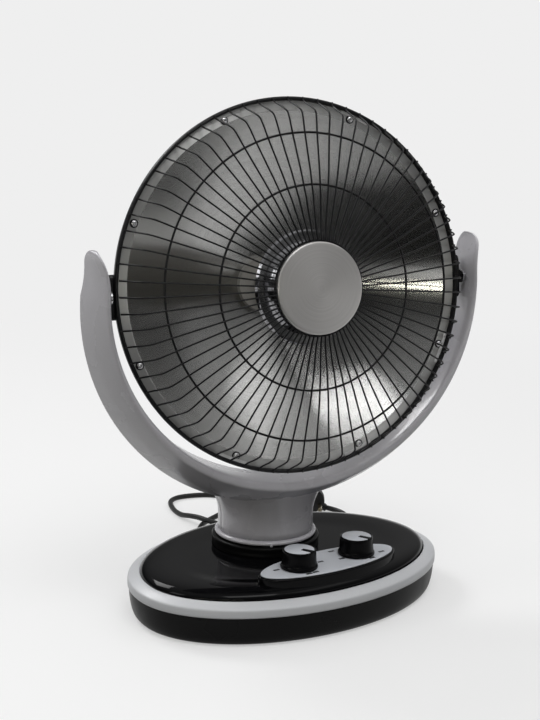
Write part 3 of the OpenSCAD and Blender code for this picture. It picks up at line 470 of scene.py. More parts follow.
def spun_metal(name, bright, dark, smooth, dull, anisotropy, lines=1200.0, depth=0.1,
               dull_beyond=None):
    """Metal turned on a lathe: its highlights stretch across the circular lines.

    Beyond a distance u from the axis, where its flange lies flat, it can be duller.
    """
    material, tree, bsdf = shader_of(name)
    bsdf.inputs["Metallic"].default_value = 1.0
    bsdf.inputs["Anisotropic"].default_value = anisotropy
    look = use_group(tree, spun_group, {"Bright": rgb(*bright), "Dark": rgb(*dark),
                                        "Lines": lines, "Depth": depth,
                                        "Smooth": smooth, "Dull": dull})
    tree.links.new(look.outputs["Color"], bsdf.inputs["Base Color"])
    rough = look.outputs["Roughness"]
    if dull_beyond:
        across = add(tree, "SeparateXYZ", {0: add(tree, "UVMap", uv_map="spun").outputs["UV"]})
        edge = remap(tree, across.outputs["X"], dull_beyond, dull_beyond + BLEND, 0.0,
                     FLANGE_DULL)
        rough = add(tree, "Math", {0: rough, 1: edge}, operation="MAXIMUM").outputs[0]
    tree.links.new(rough, bsdf.inputs["Roughness"])
    tree.links.new(look.outputs["Normal"], bsdf.inputs["Normal"])
    lie = add(tree, "Tangent", direction_type="UV_MAP", uv_map="spun")
    tree.links.new(lie.outputs["Tangent"], bsdf.inputs["Tangent"])
    return material


black_satin = moulded("black_satin", (0.004, 0.004, 0.004), 0.26, 0.4, grain=0.04,
                      Specular_IOR_Level=0.09)
black_gloss = moulded("black_gloss", (0.0025, 0.0025, 0.003), 0.06, 0.12, grain=0.01,
                      scale=300.0, Specular_IOR_Level=0.09)
trim_silver = moulded("trim_silver", (0.60, 0.61, 0.63), 0.32, 0.4, grain=0.03,
                      flake=(0.55, 0.56, 0.58))
plate_silver = moulded("plate_silver", (0.60, 0.62, 0.66), 0.3, 0.4, grain=0.02,
                       flake=(0.54, 0.56, 0.60))
yoke_silver = moulded("yoke_silver", (0.58, 0.57, 0.605), 0.22, 0.32, grain=0.03,
                      flake=(0.52, 0.51, 0.54), Coat_Weight=0.25, Coat_Roughness=0.12)
knob_black = moulded("knob_black", (0.0025, 0.0025, 0.003), 0.16, 0.26, grain=0.03,
                     Specular_IOR_Level=0.07)
rubber = moulded("rubber", (0.03, 0.03, 0.03), 0.6, 0.75, grain=0.3, scale=900.0)
cord_black = moulded("cord_black", (0.01, 0.01, 0.01), 0.4, 0.5, grain=0.08,
                     Specular_IOR_Level=0.35)
black_enamel = moulded("black_enamel", (0.004, 0.004, 0.005), 0.3, 0.45, grain=0.04,
                       Specular_IOR_Level=0.25)
switch_plastic = moulded("switch_plastic", (0.6, 0.58, 0.52), 0.4, 0.5)
gear_nylon = moulded("gear_nylon", (0.75, 0.73, 0.66), 0.35, 0.45)
ceramic = moulded("ceramic", (0.3, 0.29, 0.27), 0.25, 0.4, grain=0.15, scale=700.0)
screw_steel = moulded("screw_steel", (0.42, 0.42, 0.43), 0.3, 0.42, grain=0.2, metallic=1.0)
ballast_steel = moulded("ballast_steel", (0.2, 0.2, 0.21), 0.5, 0.7, grain=0.4, metallic=1.0)
motor_steel = moulded("motor_steel", (0.5, 0.5, 0.5), 0.3, 0.4, metallic=1.0)
tube_steel = moulded("tube_steel", (0.45, 0.45, 0.47), 0.25, 0.35, metallic=1.0)
clip_steel = moulded("clip_steel", (0.62, 0.62, 0.63), 0.2, 0.3, grain=0.05, metallic=1.0)
tongue_zinc = moulded("tongue_zinc", (0.75, 0.75, 0.75), 0.25, 0.4, grain=0.05, metallic=0.3)
element_metal = moulded("element_metal", (0.2, 0.17, 0.15), 0.4, 0.55, metallic=1.0)
pin_brass = moulded("pin_brass", (0.66, 0.58, 0.4), 0.2, 0.3, metallic=1.0)
spun_aluminium = spun_metal("spun_aluminium", (0.53, 0.53, 0.52), (0.49, 0.49, 0.48), 0.17, 0.2,
                            0.93, depth=0.001, dull_beyond=0.1685)
cup_chrome = spun_metal("cup_chrome", (0.29, 0.29, 0.30), (0.24, 0.24, 0.25), 0.07, 0.12, 0.1,
                        depth=0.02)
cap_aluminium = spun_metal("cap_aluminium", (0.5, 0.49, 0.48), (0.44, 0.43, 0.42), 0.38, 0.5,
                           0.3, lines=2600.0, depth=0.06)

# The solids have no map of their own, so the three spun finishes are plain metals on them.
FINISHES = {
    "black_satin": black_satin, "black_gloss": black_gloss, "trim_silver": trim_silver,
    "plate_silver": plate_silver, "rubber": rubber, "screw_steel": screw_steel,
    "ballast_steel": ballast_steel, "switch_plastic": switch_plastic,
    "knob_black": knob_black, "gear_nylon": gear_nylon, "motor_steel": motor_steel,
    "tube_steel": tube_steel, "yoke_silver": yoke_silver, "spun_aluminium": screw_steel,
    "black_enamel": black_enamel, "clip_steel": clip_steel, "cup_chrome": clip_steel,
    "cap_aluminium": clip_steel, "ceramic": ceramic, "element_metal": element_metal,
    "cord_black": cord_black, "pin_brass": pin_brass,
}
slot_of = {row["node"]: row["material_slot"] for row in frame["record"]["subparts"]}
for node, piece in frame["nodes"].items():
    piece.data.materials.clear()
    piece.data.materials.append(FINISHES[slot_of[node]])
mains_cord.data.materials.append(cord_black)
print("finishes:", len(FINISHES))

# %% [markdown]
# ## The lower shell and its trim
# The base is an egg-shaped oval, deeper behind than in front. A scaled cylinder would give
# even curves all round, so each ring of the shell is worked out as an oval and the shell is
# drawn from ring to ring, outside, over its lip and down inside.

# %% Ovals of the base
HALF_LEN, HALF_DEP, REAR_DEP = 172.6, 115.8, 133.0
SHELL_PROUD = 2  # the shell's front stands out this far beyond the cover's oval
OVAL_POINTS = 180


def oval(a, front, rear, z, n=OVAL_POINTS):
    """Oval with half length a and its own depth in front of and behind its widest line."""
    points = []
    for i in range(n):
        t = 2 * math.pi * i / n
        points.append(
            Vector((a * math.cos(t), (rear if t < math.pi else front) * math.sin(t), z))
        )
    return points


def base_ring(inset, z):
    """Ring of the shell or its trim, moved in from the base's widest oval."""
    return oval(HALF_LEN - inset, HALF_DEP + SHELL_PROUD - inset, REAR_DEP - inset, z)


# %% Lower shell
outside = eased([(13, 0.5), (8.0, 2.2), (5.0, 8), (3.2, 19), (2.4, 30.2)])
inside = eased([(4.4, 30.2), (6.4, 19), (10.4, 10), (18, 5)])
bm = bmesh.new()
drawn(bm, [base_ring(*p) for p in outside + inside])
place(bm, "lower_shell", "base", black_satin, SCALE, ["base_pan"])

# %% Pale trim ring
ring_line = eased(
    [(1.8, 30.2), (1.3, 30.8), (1.4, 36), (1.8, 38.2), (3.4, 39.4), (10.8, 42.9), (13.4, 42.9),
     (13.4, 40.5), (8.4, 36.9), (4.6, 30.2)], keep=(0, 6, 7, 8, 9))
bm = bmesh.new()
drawn(bm, [base_ring(*p) for p in ring_line], joined=True)
place(bm, "pale_trim_ring", "base", trim_silver, SCALE, ["trim_ring"], sharp=50)

# %% [markdown]
# ## The glossy cover
# The cover shows its shape only by what it mirrors, so its shoulder needs many rings where it
# turns down. Facets would show as broken reflections. The height comes from one formula: a
# steep shoulder at the edge and a shallow well round the neck.

# %% Cover
COVER_INSET = 13.6
COVER_EDGE, DOME_RISE, WELL_DROP, COVER_WALL, COVER_FOOT = 42.4, 10.0, 3.6, 2.5, 36
WELL_IN, WELL_OUT = 0.6, 0.88


def well_share(k):
    """How much of the well's depth is left at a share k of the way from middle to edge."""
    if k < WELL_IN:
        return 1.0
    if k > WELL_OUT:
        return 0.0
    return (1 + math.cos(math.pi * (k - WELL_IN) / (WELL_OUT - WELL_IN))) / 2


def dome_z(k):
    """Height of the cover at a share k of the way from its middle to its edge."""
    shoulder = DOME_RISE * math.sqrt(max(0.0, 1 - k**14))
    return COVER_EDGE + shoulder - WELL_DROP * well_share(k)


def cover_ring(k, z):
    """Oval of the cover at a share k of its size."""
    return oval(
        (HALF_LEN - COVER_INSET) * k, (HALF_DEP - COVER_INSET) * k,
        (REAR_DEP - COVER_INSET) * k, z,
    )


# Few rings under the neck's foot, and ever closer ones towards the edge
shares = [0.25, 0.45, 0.56] + [0.6 + 0.02 * i for i in range(15)]
shares += [0.9 + 0.01 * i for i in range(7)] + [0.967, 0.973, 0.979, 0.984, 0.988, 0.991]
shares += [0.994, 0.996, 0.9975, 0.9988, 0.9996, 1.0]
bm = bmesh.new()
rings = [cover_ring(k, dome_z(k)) for k in shares]
rings += [cover_ring(1.0, COVER_FOOT), cover_ring(0.984, COVER_FOOT)]
rings += [cover_ring(k, dome_z(k) - COVER_WALL) for k in (0.975, 0.95, 0.88, 0.74, 0.6, 0.25)]
drawn(bm, rings)
place(bm, "glossy_cover", "base", black_gloss, SCALE, ["top_cover"], sharp=60)

# %% [markdown]
# ## Controls
# Two knobs stand on a pale lens-shaped plate over a black housing. The plate and the housing
# are prisms with eased edges. The knobs are turned, and each has a pale disc with a black
# wedge that points at the marks. The marks are short generic dashes without lettering.

# %% Control housing and plate
CONTROLS_Y, KNOB_X = 67.7, 35.2
PLATE_HALF_LEN, PLATE_HALF_DEP, PLATE_TOP = 78.4, 27.3, 59.6
LENS_POINTS = 144
controls_frame = SCALE @ Matrix.Translation((0, -CONTROLS_Y, 0))


def lens_ring(inset, z):
    """Ring of the plate's outline. A negative inset lies outside the plate, on its housing."""
    depth = PLATE_HALF_DEP - inset
    return oval(PLATE_HALF_LEN - inset, depth, depth, z, LENS_POINTS)


bm = bmesh.new()
drawn(bm, [lens_ring(*p) for p in ((-2.6, 38.4), (-2.6, 56.8), (-2.45, 57.5), (-2.0, 58.1),
                                   (-1.4, 58.5), (-0.6, 58.6), (4, 58.6))])
place(bm, "control_housing", "base", black_gloss, controls_frame,
      ["control_pod"])
bm = bmesh.new()
drawn(bm, [lens_ring(*p) for p in ((0.2, 58.6), (0, 59.1), (0.2, 59.45), (0.7, PLATE_TOP),
                                   (6, PLATE_TOP))])
place(bm, "pale_plate", "base", plate_silver, controls_frame,
      ["control_plate"], sharp=50)

# %% Marks round the knobs
print_grey = moulded("print_grey", (0.012, 0.012, 0.014), 0.4, 0.5)
DASHES, DASH_STEP, DASH_SIZE = 3, 2.3, (2.0, 3.0, 0.14, 1)
DIAL_MARKS = [(-57.8, 6.0), (-37.5, -19.6), (-29.5, -19.4), (-8.5, 1.0), (14.6, -3.5),
              (18.6, 18.8), (41.3, -17.8), (60.2, -9.0)]
bm = bmesh.new()
for x, y in DIAL_MARKS:
    for k in range(DASHES):
        block(bm, Matrix.Translation((x + DASH_STEP * (k - 1), y, PLATE_TOP + 0.05))
              @ Matrix.Diagonal(DASH_SIZE))
place(bm, "dial_marks", "base", print_grey, controls_frame)

# %% Knobs
KNOB_R, KNOB_BASE, KNOB_TOP, DISC_R = 18.5, 60.1, 78.4, 14.5
POINTER = math.radians(-67)
WEDGE_X, WEDGE_SIZE, WEDGE_TAPER = 9.2, (12.2, 6.0, 1.1, 1), 0.8
knob_profile = eased(
    [(6, KNOB_BASE + 0.2), (KNOB_R - 0.5, KNOB_BASE), (KNOB_R, KNOB_BASE + 1),
     (KNOB_R - 0.3, KNOB_BASE + 2.8), (KNOB_R - 1.5, KNOB_BASE + 4.6),
     (KNOB_R - 2, KNOB_TOP - 2.4), (KNOB_R - 2.3, KNOB_TOP - 0.7),
     (KNOB_R - 3.0, KNOB_TOP - 0.1), (KNOB_R - 3.5, KNOB_TOP - 0.2),
     (KNOB_R - 3.55, KNOB_TOP - 1), (0, KNOB_TOP - 1)], keep=(9,))
disc_profile = [(0, KNOB_TOP - 1), (DISC_R, KNOB_TOP - 1), (DISC_R, KNOB_TOP - 0.3),
                (DISC_R - 0.25, KNOB_TOP - 0.05), (0, KNOB_TOP)]
for name, x, nodes in (("heat", -KNOB_X, ["heat_knob", "heat_knob_cap"]),
                       ("timer", KNOB_X, ["timer_knob", "timer_knob_cap"])):
    knob_frame = controls_frame @ Matrix.Translation((x, 0, 0))
    bm = bmesh.new()
    spun(bm, knob_profile, 64)
    # The black wedge across the disc, from near its middle to beyond its edge
    block(bm, Matrix.Rotation(POINTER, 4, "Z")
          @ Matrix.Translation((WEDGE_X, 0, KNOB_TOP - 0.35)) @ Matrix.Diagonal(WEDGE_SIZE),
          WEDGE_TAPER)
    place(bm, name + "_knob_body", name + "_control", knob_black, knob_frame,
          nodes[:1], sharp=45)
    bm = bmesh.new()
    spun(bm, disc_profile, 64)
    place(bm, name + "_knob_disc", name + "_control", plate_silver,
          knob_frame, nodes[1:], sharp=50)

# %% [markdown]
# ## The swivel collar and the neck's foot
# A black bead stands in the cover round the neck, and a pale rounded ring at the foot of the
# neck turns on it. Both are plain turned profiles with soft edges, and the ring carries one
# small tab.

# %% Collar and neck ring
TAB_ANGLE = -107
collar_profile = eased(
    [(30.1, 37), (50.9, 37), (50.9, 48.8), (54.6, 48.8), (55.4, 50), (54.8, 53.4), (55.4, 56.6),
     (55.4, 58.2), (54.4, 59.5), (52, 59.6), (30.1, 59.6)], keep=(1, 2, 3))
bm = bmesh.new()
spun(bm, collar_profile, closed=True)
place(bm, "collar_bead", "base", black_satin, collar_frame, ["swivel_collar"],
      sharp=50)
foot_profile = eased([(43.8, 60.5), (50.8, 60.5), (52, 61.3), (52.4, 62.7), (51.8, 64.1),
                      (50.2, 65.2), (43.8, 65.3)])
bm = bmesh.new()
spun(bm, foot_profile, closed=True)
block(bm, Matrix.Rotation(math.radians(TAB_ANGLE), 4, "Z")
      @ Matrix.Translation((52.2, 0, 61.4)) @ Matrix.Diagonal((3, 2.4, 1.8, 1)))
place(bm, "neck_foot_ring", "yoke", yoke_silver, yoke_frame, ["neck_ring"],
      sharp=50)

# %% [markdown]
# ## The yoke
# The yoke is a moulded crescent on a neck: its section is widest at the bottom, its front edge
# is rounded and its back is closed by covers. A curve with a bevel object would keep one
# section, so the section is worked out afresh at each station and drawn through them.

# %% Sections of the yoke
ARC_IN = 189.5
FRONT_R, FRONT_DROP, BACK_R, BACK_DROP = 194.2, 6.8, 207.6, 15.4
ARM_FRONT, ARM_BACK, TIP_H, COVER_SLAB = -20.5, 26.5, 43.0, 3.0
SEAM = 0.35
# Where the tip starts to round, and how far its waist draws in
ROUND_FROM, TIP_PULL = 0.74, 2.4


def reach(radius, drop, t):
    """Distance from the tilt axis to a circle whose centre lies below it."""
    return drop * math.cos(t) + math.sqrt(radius**2 - (drop * math.sin(t)) ** 2)


def mix(a, b, t):
    """The value at a share t of the way from a to b."""
    return a + (b - a) * t


# Each section is given by its inner wall a, its outer wall in front (of) and behind (ob), and
# its front and back planes yf and yb. A narrow section gets smaller corners.
def shell_section(a, of, ob, yf, yb):
    """Outline of the front shell, from its inner wall round the front to its outer wall."""
    ys = yb - min(COVER_SLAB, (yb - yf) * 0.4) - SEAM
    side = mix(of, ob, 0.94)
    soft = min(1.0, (ys - yf) / 20, (of - a) / 5)
    line = [(a, ys), (a, yf + 3.4 * soft), (a + 2.6 * soft, yf), (of - 2.2 * soft, yf),
            (of + 0.5, yf + 3.6 * soft),
            ((of + ob) / 2 + 0.8 * soft, (yf + ys) / 2), (side, ys)]
    return eased([(p[0], p[1], 0) for p in line], 3)


def cover_section(a, of, ob, yf, yb):
    """Outline of the slab that closes the shell behind."""
    slab = min(COVER_SLAB, (yb - yf) * 0.4)
    ys = yb - slab
    side = mix(of, ob, 0.94)
    soft = min(1.0, (side - a) / 5)
    line = [(side, ys), (side - 0.2 * soft, ys + slab / 2), (side - 2 * soft, yb),
            (a + 1.6 * soft, yb), (a, ys + slab / 2), (a, ys)]
    return eased([(p[0], p[1], 0) for p in line], 2)


def station(section, across, base, sizes):
    """A section's points, set up at a base with the way that leads across the arc."""
    return [base + p[0] * across + Vector((0, p[1], 0)) for p in section(*sizes)]


def arc_station(section, degrees):
    """The section on the arc, at that many degrees from its lowest point."""
    t = math.radians(degrees)
    sizes = (ARC_IN, reach(FRONT_R, FRONT_DROP, t), reach(BACK_R, BACK_DROP, t),
             ARM_FRONT, ARM_BACK)
    return station(section, Vector((math.sin(t), 0, -math.cos(t))), Vector(), sizes)


def tip_station(section, side, s):
    """The section at a share s of the tip's height: the arm narrows and sweeps back."""
    half = math.pi / 2
    x_front, x_back = reach(FRONT_R, FRONT_DROP, half), reach(BACK_R, BACK_DROP, half)
    end = max(0, s - ROUND_FROM) / (1 - ROUND_FROM)
    round_off = 1 - math.sqrt(max(0, 1 - end * end))
    waist = math.sin(math.pi * s)
    front = ARM_FRONT + 9.5 * s**2.6
    rear = ARM_BACK - 3 * s**2 - 3.2 * waist * (1 - s)
    middle = (front + rear) / 2 + 2
    front = mix(front, middle - 5, round_off)
    rear = mix(rear, middle + 6, round_off)
    pull = TIP_PULL * waist
    inner = mix(ARC_IN + 8.0 * s**1.8 - 0.5 * pull, x_front - 1, 0.5 * round_off)
    outer_front = mix(x_front + 5 * s - pull, x_front + 3, round_off)
    outer_back = mix(x_back - 4 * s * s - pull, x_front + 5, round_off)
    sizes = (inner, outer_front, outer_back, front, rear)
    return station(section, Vector((side, 0, 0)), Vector((0, 0, TIP_H * s)), sizes)


tip_shares = [0.1, 0.2, 0.3, 0.4, 0.5, 0.6, 0.68, 0.75, 0.81, 0.86, 0.9, 0.935, 0.962, 0.982,
              0.994, 1.0]

# %% Front shell of the arc
bm = bmesh.new()
drawn(bm, [tip_station(shell_section, 1, s) for s in reversed(tip_shares)]
      + [arc_station(shell_section, t) for t in range(90, -91, -2)]
      + [tip_station(shell_section, -1, s) for s in tip_shares])
place(bm, "yoke_shell", "yoke", yoke_silver, pivot_frame,
      ["yoke_front_shell"], sharp=50)

# %% Rear covers of the arms
for name, side, node in (("left", -1, "arm_cover_left"), ("right", 1, "arm_cover_right")):
    bm = bmesh.new()
    drawn(bm, [tip_station(cover_section, side, s) for s in reversed(tip_shares)]
          + [arc_station(cover_section, side * t) for t in range(90, 17, -2)])
    place(bm, "arm_rear_" + name, "yoke", yoke_silver, pivot_frame, [node],
          sharp=50)

# %% [markdown]
# ## The neck
# The neck is a hollow column in two halves that carries the arc. It flares at the sides where
# it meets the arc, and a roof closes it behind. A plain cylinder cut by the arc would have no
# flare, so a row of edges is extruded up the wall, over its shoulder and in to the middle. A
# Solidify modifier then gives the skin its thickness.

# %% Neck
NECK_R, NECK_FOOT, NECK_WALL = 49.0, 65.3, 0.0024
NECK_STEPS, NECK_ROWS = 48, 20
FLARE, FLARE_FOOT, FLARE_H = 10.0, 82.0, 28.0
ARC_COVER = 1.2
SLOPE_TOP, SLOPE = 135.6, math.radians(20)
# The roof's rows: share of the radius that is left, and height over the wall's top. All of
# them lie lower by the roof's drop.
ROOF_DROP = 0.8
ROOF = ((0.997, -0.9), (0.988, -0.2), (0.97, 0.2), (0.9, 0.6), (0.75, 1.0), (0.5, 1.3),
        (0.25, 1.5), (0.0, 1.6))
SHOULDER = 2.2


def neck_top(x, y):
    """Underside of the arc above a point of the neck, a little inside its wall."""
    roof = PIVOT_Z - math.sqrt((ARC_IN + ARC_COVER) ** 2 - x * x)
    slope = SLOPE_TOP - math.tan(SLOPE) * max(0.0, y - (ARM_BACK - PIVOT_Y - 1))
    return min(roof, slope)


def neck_half(name, start, end, node):
    """Half of the neck's wall and roof, between two angles."""
    bm = bmesh.new()
    angles = [math.radians(mix(start, end, i / NECK_STEPS)) for i in range(NECK_STEPS + 1)]
    levels = []
    for j in range(NECK_ROWS + 1):
        level = []
        for a in angles:
            x, y = NECK_R * math.cos(a), NECK_R * math.sin(a)
            z = mix(NECK_FOOT, neck_top(x, y) - SHOULDER, (j / NECK_ROWS) ** 0.8)
            near = min(1, max(0, (z - FLARE_FOOT) / FLARE_H))
            side = 0.3 + 0.7 * abs(math.cos(a)) ** 1.5
            grow = 1 + FLARE / NECK_R * near**2 * side
            level.append(Vector((x * grow, y * grow, z)))
        levels.append(level)
    rim = levels[-1]
    for share, lift in ROOF:
        levels.append([Vector((p.x * share, p.y * share, neck_top(p.x * share, p.y * share)
                               + lift - ROOF_DROP)) for p in rim])
    verts = [bm.verts.new(p) for p in levels[0]]
    edges = [bm.edges.new(pair) for pair in zip(verts, verts[1:])]
    for level in levels[1:]:
        verts, edges = next_row(bm, verts, edges, level, closed=False)
    bmesh.ops.remove_doubles(bm, verts=bm.verts, dist=0.05)
    piece = place(bm, name, "yoke", yoke_silver, yoke_frame, node, sharp=50)
    # An open skin has no inside, so its faces are turned away from the neck's middle by hand.
    first = piece.data.polygons[0]
    if first.normal.dot(first.center - Vector((0, NECK_Y * MM, 0.09))) < 0:
        piece.data.flip_normals()
    wall = piece.modifiers.new("wall", "SOLIDIFY")
    wall.thickness = NECK_WALL
    wall.offset = -1


neck_half("neck_front", 180.4, 359.6, [])
neck_half("neck_rear", 0.4, 179.6, ["neck_rear_cover"])

# %% [markdown]
# ## The reflector
# The bowl is spun from thin aluminium over a form, which leaves fine circular lines. Across
# those lines the metal is rougher than along them, so a lamp shows as a bright wedge from the
# middle to the edge. The lines' direction comes from the mesh's own map: u runs from the
# middle outwards, and v goes round.

# %% Spun pieces with their own map
FLANGE_Z, BOWL_R, BOWL_DEPTH, BOWL_HOLE = -2.2, 168.0, 78.0, 22.0
RIM_R, RIM_W, RIM_FRONT, RIM_BACK = 183.0, 4.4, 2.4, -8.0
FLANGE_OUT = RIM_R - RIM_W
RIM_EDGE = 181.2
SHEET, FLANGE_SHEET = 1.15, 1


def map_round(piece, axis_frame):
    """Gives a turned piece its map: u is the distance from the axis and v the angle.

    A part of the height is added to u, so that the lines don't stretch on a steep wall.
    """
    mesh = piece.data
    layer = mesh.uv_layers.new(name="spun")
    back_to = axis_frame.inverted()
    for face in mesh.polygons:
        middle = back_to @ face.center
        home = math.atan2(middle.y, middle.x)
        for loop in face.loop_indices:
            p = back_to @ mesh.vertices[mesh.loops[loop].vertex_index].co
            r = math.hypot(p.x, p.y)
            angle = math.atan2(p.y, p.x) if r > 1e-6 else home
            angle += 2 * math.pi * round((home - angle) / (2 * math.pi))
            layer.data[loop].uv = ((r + abs(p.z) * 0.2) * MM, angle / (2 * math.pi))


def bowl_z(r):
    """Height of the paraboloid at a distance from its axis."""
    return FLANGE_Z - BOWL_DEPTH * (1 - (r / BOWL_R) ** 2)


radii = [BOWL_HOLE + (BOWL_R - BOWL_HOLE) * i / 40 for i in range(41)]
bowl_line = [(r, bowl_z(r)) for r in radii]
bowl_line += [(BOWL_R + 0.5, FLANGE_Z + 0.02), (BOWL_R + 1.2, FLANGE_Z), (FLANGE_OUT, FLANGE_Z)]
bowl_line += [(FLANGE_OUT, FLANGE_Z - FLANGE_SHEET), (BOWL_R + 1.0, FLANGE_Z - FLANGE_SHEET)]
bowl_line += [(r, bowl_z(r) - SHEET) for r in reversed(radii)]
bm = bmesh.new()
spun(bm, bowl_line, 192, closed=True)
reflector = place(bm, "spun_reflector", "dish", spun_aluminium, dish_frame,
                  ["reflector"], sharp=25)
map_round(reflector, dish_frame)

# %% [markdown]
# ## The rim of the guard
# A black enamelled hoop grips the reflector's flange and carries the guard. It has one section
# all round, so it is spun in one turn from a closed line with eased corners.

# %% Guard rim
rim_line = eased(
    [(FLANGE_OUT - 2, RIM_BACK), (RIM_EDGE - 2, RIM_BACK), (RIM_EDGE - 0.8, RIM_BACK + 2.4),
     (RIM_EDGE, RIM_FRONT - 4), (RIM_EDGE - 0.4, RIM_FRONT - 0.8), (RIM_EDGE - 1.8, RIM_FRONT),
     (FLANGE_OUT - 0.6, RIM_FRONT - 0.2), (FLANGE_OUT - 1.4, RIM_FRONT - 2)])
bm = bmesh.new()
spun(bm, rim_line, 192, closed=True)
place(bm, "black_rim", "dish", black_enamel, dish_frame, ["guard_rim"])

# %% [markdown]
# ## Screws and tongues on the flange
# Eight small screws hold the rim, and beside five of them a bright bent tongue grips the
# guard. One screw is turned from its profile, with a hollow for the driver, and the same is
# done again at each place on the flange.

# %% Flange screws
SCREW_ANGLES = [22 + 45 * k for k in range(8)]
TONGUE_ANGLES = (67, 112, 247, 292, 337)
SCREW_RING_R = 171.8
TONGUE_FROM, TONGUE_TO, TONGUE_STEPS = -6.0, 4.0, 12
TONGUE_SECTION = ((174.2, 0.1), (177.6, 0.1), (178.2, 2.2), (177.7, 2.3), (177.1, 0.9),
                  (174.2, 0.9))


def round_the_flange(name, angles, make, material, nodes):
    """Copies of a small piece, made at the middle, moved out and turned to their angles."""
    bm = bmesh.new()
    for angle in angles:
        before = set(bm.verts)
        make(bm)
        fresh = [v for v in bm.verts if v not in before]
        bmesh.ops.translate(bm, verts=fresh, vec=(SCREW_RING_R, 0, FLANGE_Z))
        bmesh.ops.rotate(bm, verts=fresh, cent=(0, 0, 0),
                         matrix=Matrix.Rotation(math.radians(angle), 3, "Z"))
    place(bm, name, "dish", material, dish_frame, nodes, sharp=40)


def washer(bm):
    """A flat ring under a screw's head, solid in the middle."""
    spun(bm, [(0, 0.05), (4.1, 0.05), (4.1, 0.5), (3.7, 0.7), (0, 0.7)], 28)


def pan_screw(bm):
    """A screw with a rounded head and a hollow for the driver."""
    spun(bm, [(0, -6.2), (1.6, -6.2), (1.6, 0.6), (3.1, 0.6), (3.0, 1.4), (2.3, 2.1),
              (1.3, 2.3), (0.9, 1.0), (0, 0.9)], 28)


def tongue(bm):
    """A strip that lies along the rim, bent up at its edge."""
    rings = []
    for i in range(TONGUE_STEPS + 1):
        angle = math.radians(mix(TONGUE_FROM, TONGUE_TO, i / TONGUE_STEPS))
        out = Vector((math.cos(angle), math.sin(angle), 0))
        rings.append([r * out + Vector((-SCREW_RING_R, 0, z)) for r, z in TONGUE_SECTION])
    drawn(bm, rings)


round_the_flange("flange_washers", SCREW_ANGLES, washer, black_enamel, [])
round_the_flange("flange_screws", SCREW_ANGLES, pan_screw, clip_steel, ["rim_screws"])
round_the_flange("bright_tongues", TONGUE_ANGLES, tongue, tongue_zinc, ["guard_clips"])

# %% [markdown]
# ## The wire guard
# Seventy-two bent wires run from the rim to a ring under the centre cap, over two more rings.
# Their bends are the same everywhere, so each wire is drawn along one line of points, with
# only six sides because there are so many, and is then turned to its place. The wires beside
# the pivots have no tails.

# %% Guard wires
WIRE_COUNT, WIRE_R, RING_WIRE_R = 72, 0.88, 1.1
RING1_R, RING2_R, RING1_Z, RING2_Z = 145.0, 96.3, 35.7, 47.8
CAP_R, CAP_Z, CUP_R, CUP_Z = 43.5, 55.7, 54.6, 31.5
HUB_RING_R = CAP_R + 1.15
BRACKET_HALF = 21.5
wire_line = [
    (RIM_EDGE - 0.6, RIM_FRONT + 0.1), (RIM_EDGE - 1.8, RIM_FRONT + 0.6),
    (RIM_EDGE - 4, RIM_FRONT + WIRE_R), (167.4, RING1_Z - 5.5), (162.6, RING1_Z - 1),
    (RING1_R, RING1_Z + WIRE_R + RING_WIRE_R), (RING2_R, RING2_Z + WIRE_R + RING_WIRE_R),
    (CUP_R + 0.4, CAP_Z - 1.4), (HUB_RING_R + 2.4, CAP_Z + 1.1),
    (HUB_RING_R, CAP_Z + WIRE_R + RING_WIRE_R - 0.5),
]


def bent_wire(bm, points):
    """One wire of six sides along its points, which lie in the plane of x and z."""
    line = eased([(r, 0, z) for r, z in points], 1)
    rings = []
    for i, p in enumerate(line):
        way = (line[min(i + 1, len(line) - 1)] - line[max(i - 1, 0)]).normalized()
        up = way.cross(Vector((0, 1, 0)))
        rings.append([
            p + WIRE_R * (math.cos(k * math.pi / 3) * up
                          + math.sin(k * math.pi / 3) * Vector((0, 1, 0)))
            for k in range(6)
        ])
    drawn(bm, rings)


bm = bmesh.new()
for i in range(WIRE_COUNT):
    angle = 2 * math.pi * i / WIRE_COUNT
    before = set(bm.verts)
    beside_pivot = abs(math.sin(angle)) * RIM_R < BRACKET_HALF
    bent_wire(bm, wire_line[2:] if beside_pivot else wire_line)
    fresh = [v for v in bm.verts if v not in before]
    bmesh.ops.rotate(bm, verts=fresh, cent=(0, 0, 0), matrix=Matrix.Rotation(angle, 3, "Z"))
place(bm, "bent_guard_wires", "dish", black_enamel, dish_frame,
      ["guard_wires"], sharp=80)

# %% [markdown]
# ## Pivot brackets
# A bracket on each side of the rim's back part carries the dish, with a bright boss towards
# the arm. Its outline is drawn outwards and shrinks a little at the end, which eases its edge
# as a bevel would.

# %% Brackets and bosses
BRACKET_MIDDLE = -8
# Distance from the dish's axis, and share of the outline's size there
BRACKET_STEPS = ((177.5, 1), (184.3, 1), (185.2, 0.97), (185.4, 0.93))
BOSS_PROFILE = [(0, 184.5), (6.6, 184.5), (6.6, 185.9), (5.9, 186.6), (0, 186.7)]
bracket_outline = eased(
    [(-BRACKET_HALF + 3, -13), (BRACKET_HALF - 5, -13), (BRACKET_HALF, -8),
     (BRACKET_HALF - 1, -3.5), (8, -2.5), (-8, -2.5), (-BRACKET_HALF + 1, -4),
     (-BRACKET_HALF, -8)], closed=True)
for name, side, nodes in (("left", -1, ["pivot_brackets"]), ("right", 1, [])):
    bm = bmesh.new()
    drawn(bm, [[(side * x, p[0] * k, mix(BRACKET_MIDDLE, p[1], k))
                for p in bracket_outline]
               for x, k in BRACKET_STEPS])
    place(bm, "bracket_" + name, "dish", black_enamel, dish_frame, nodes)
    bm = bmesh.new()
    spun(bm, BOSS_PROFILE, 40)
    place(bm, "boss_" + name, "dish", clip_steel,
          dish_frame @ Matrix.Rotation(side * math.pi / 2, 4, "Y"))

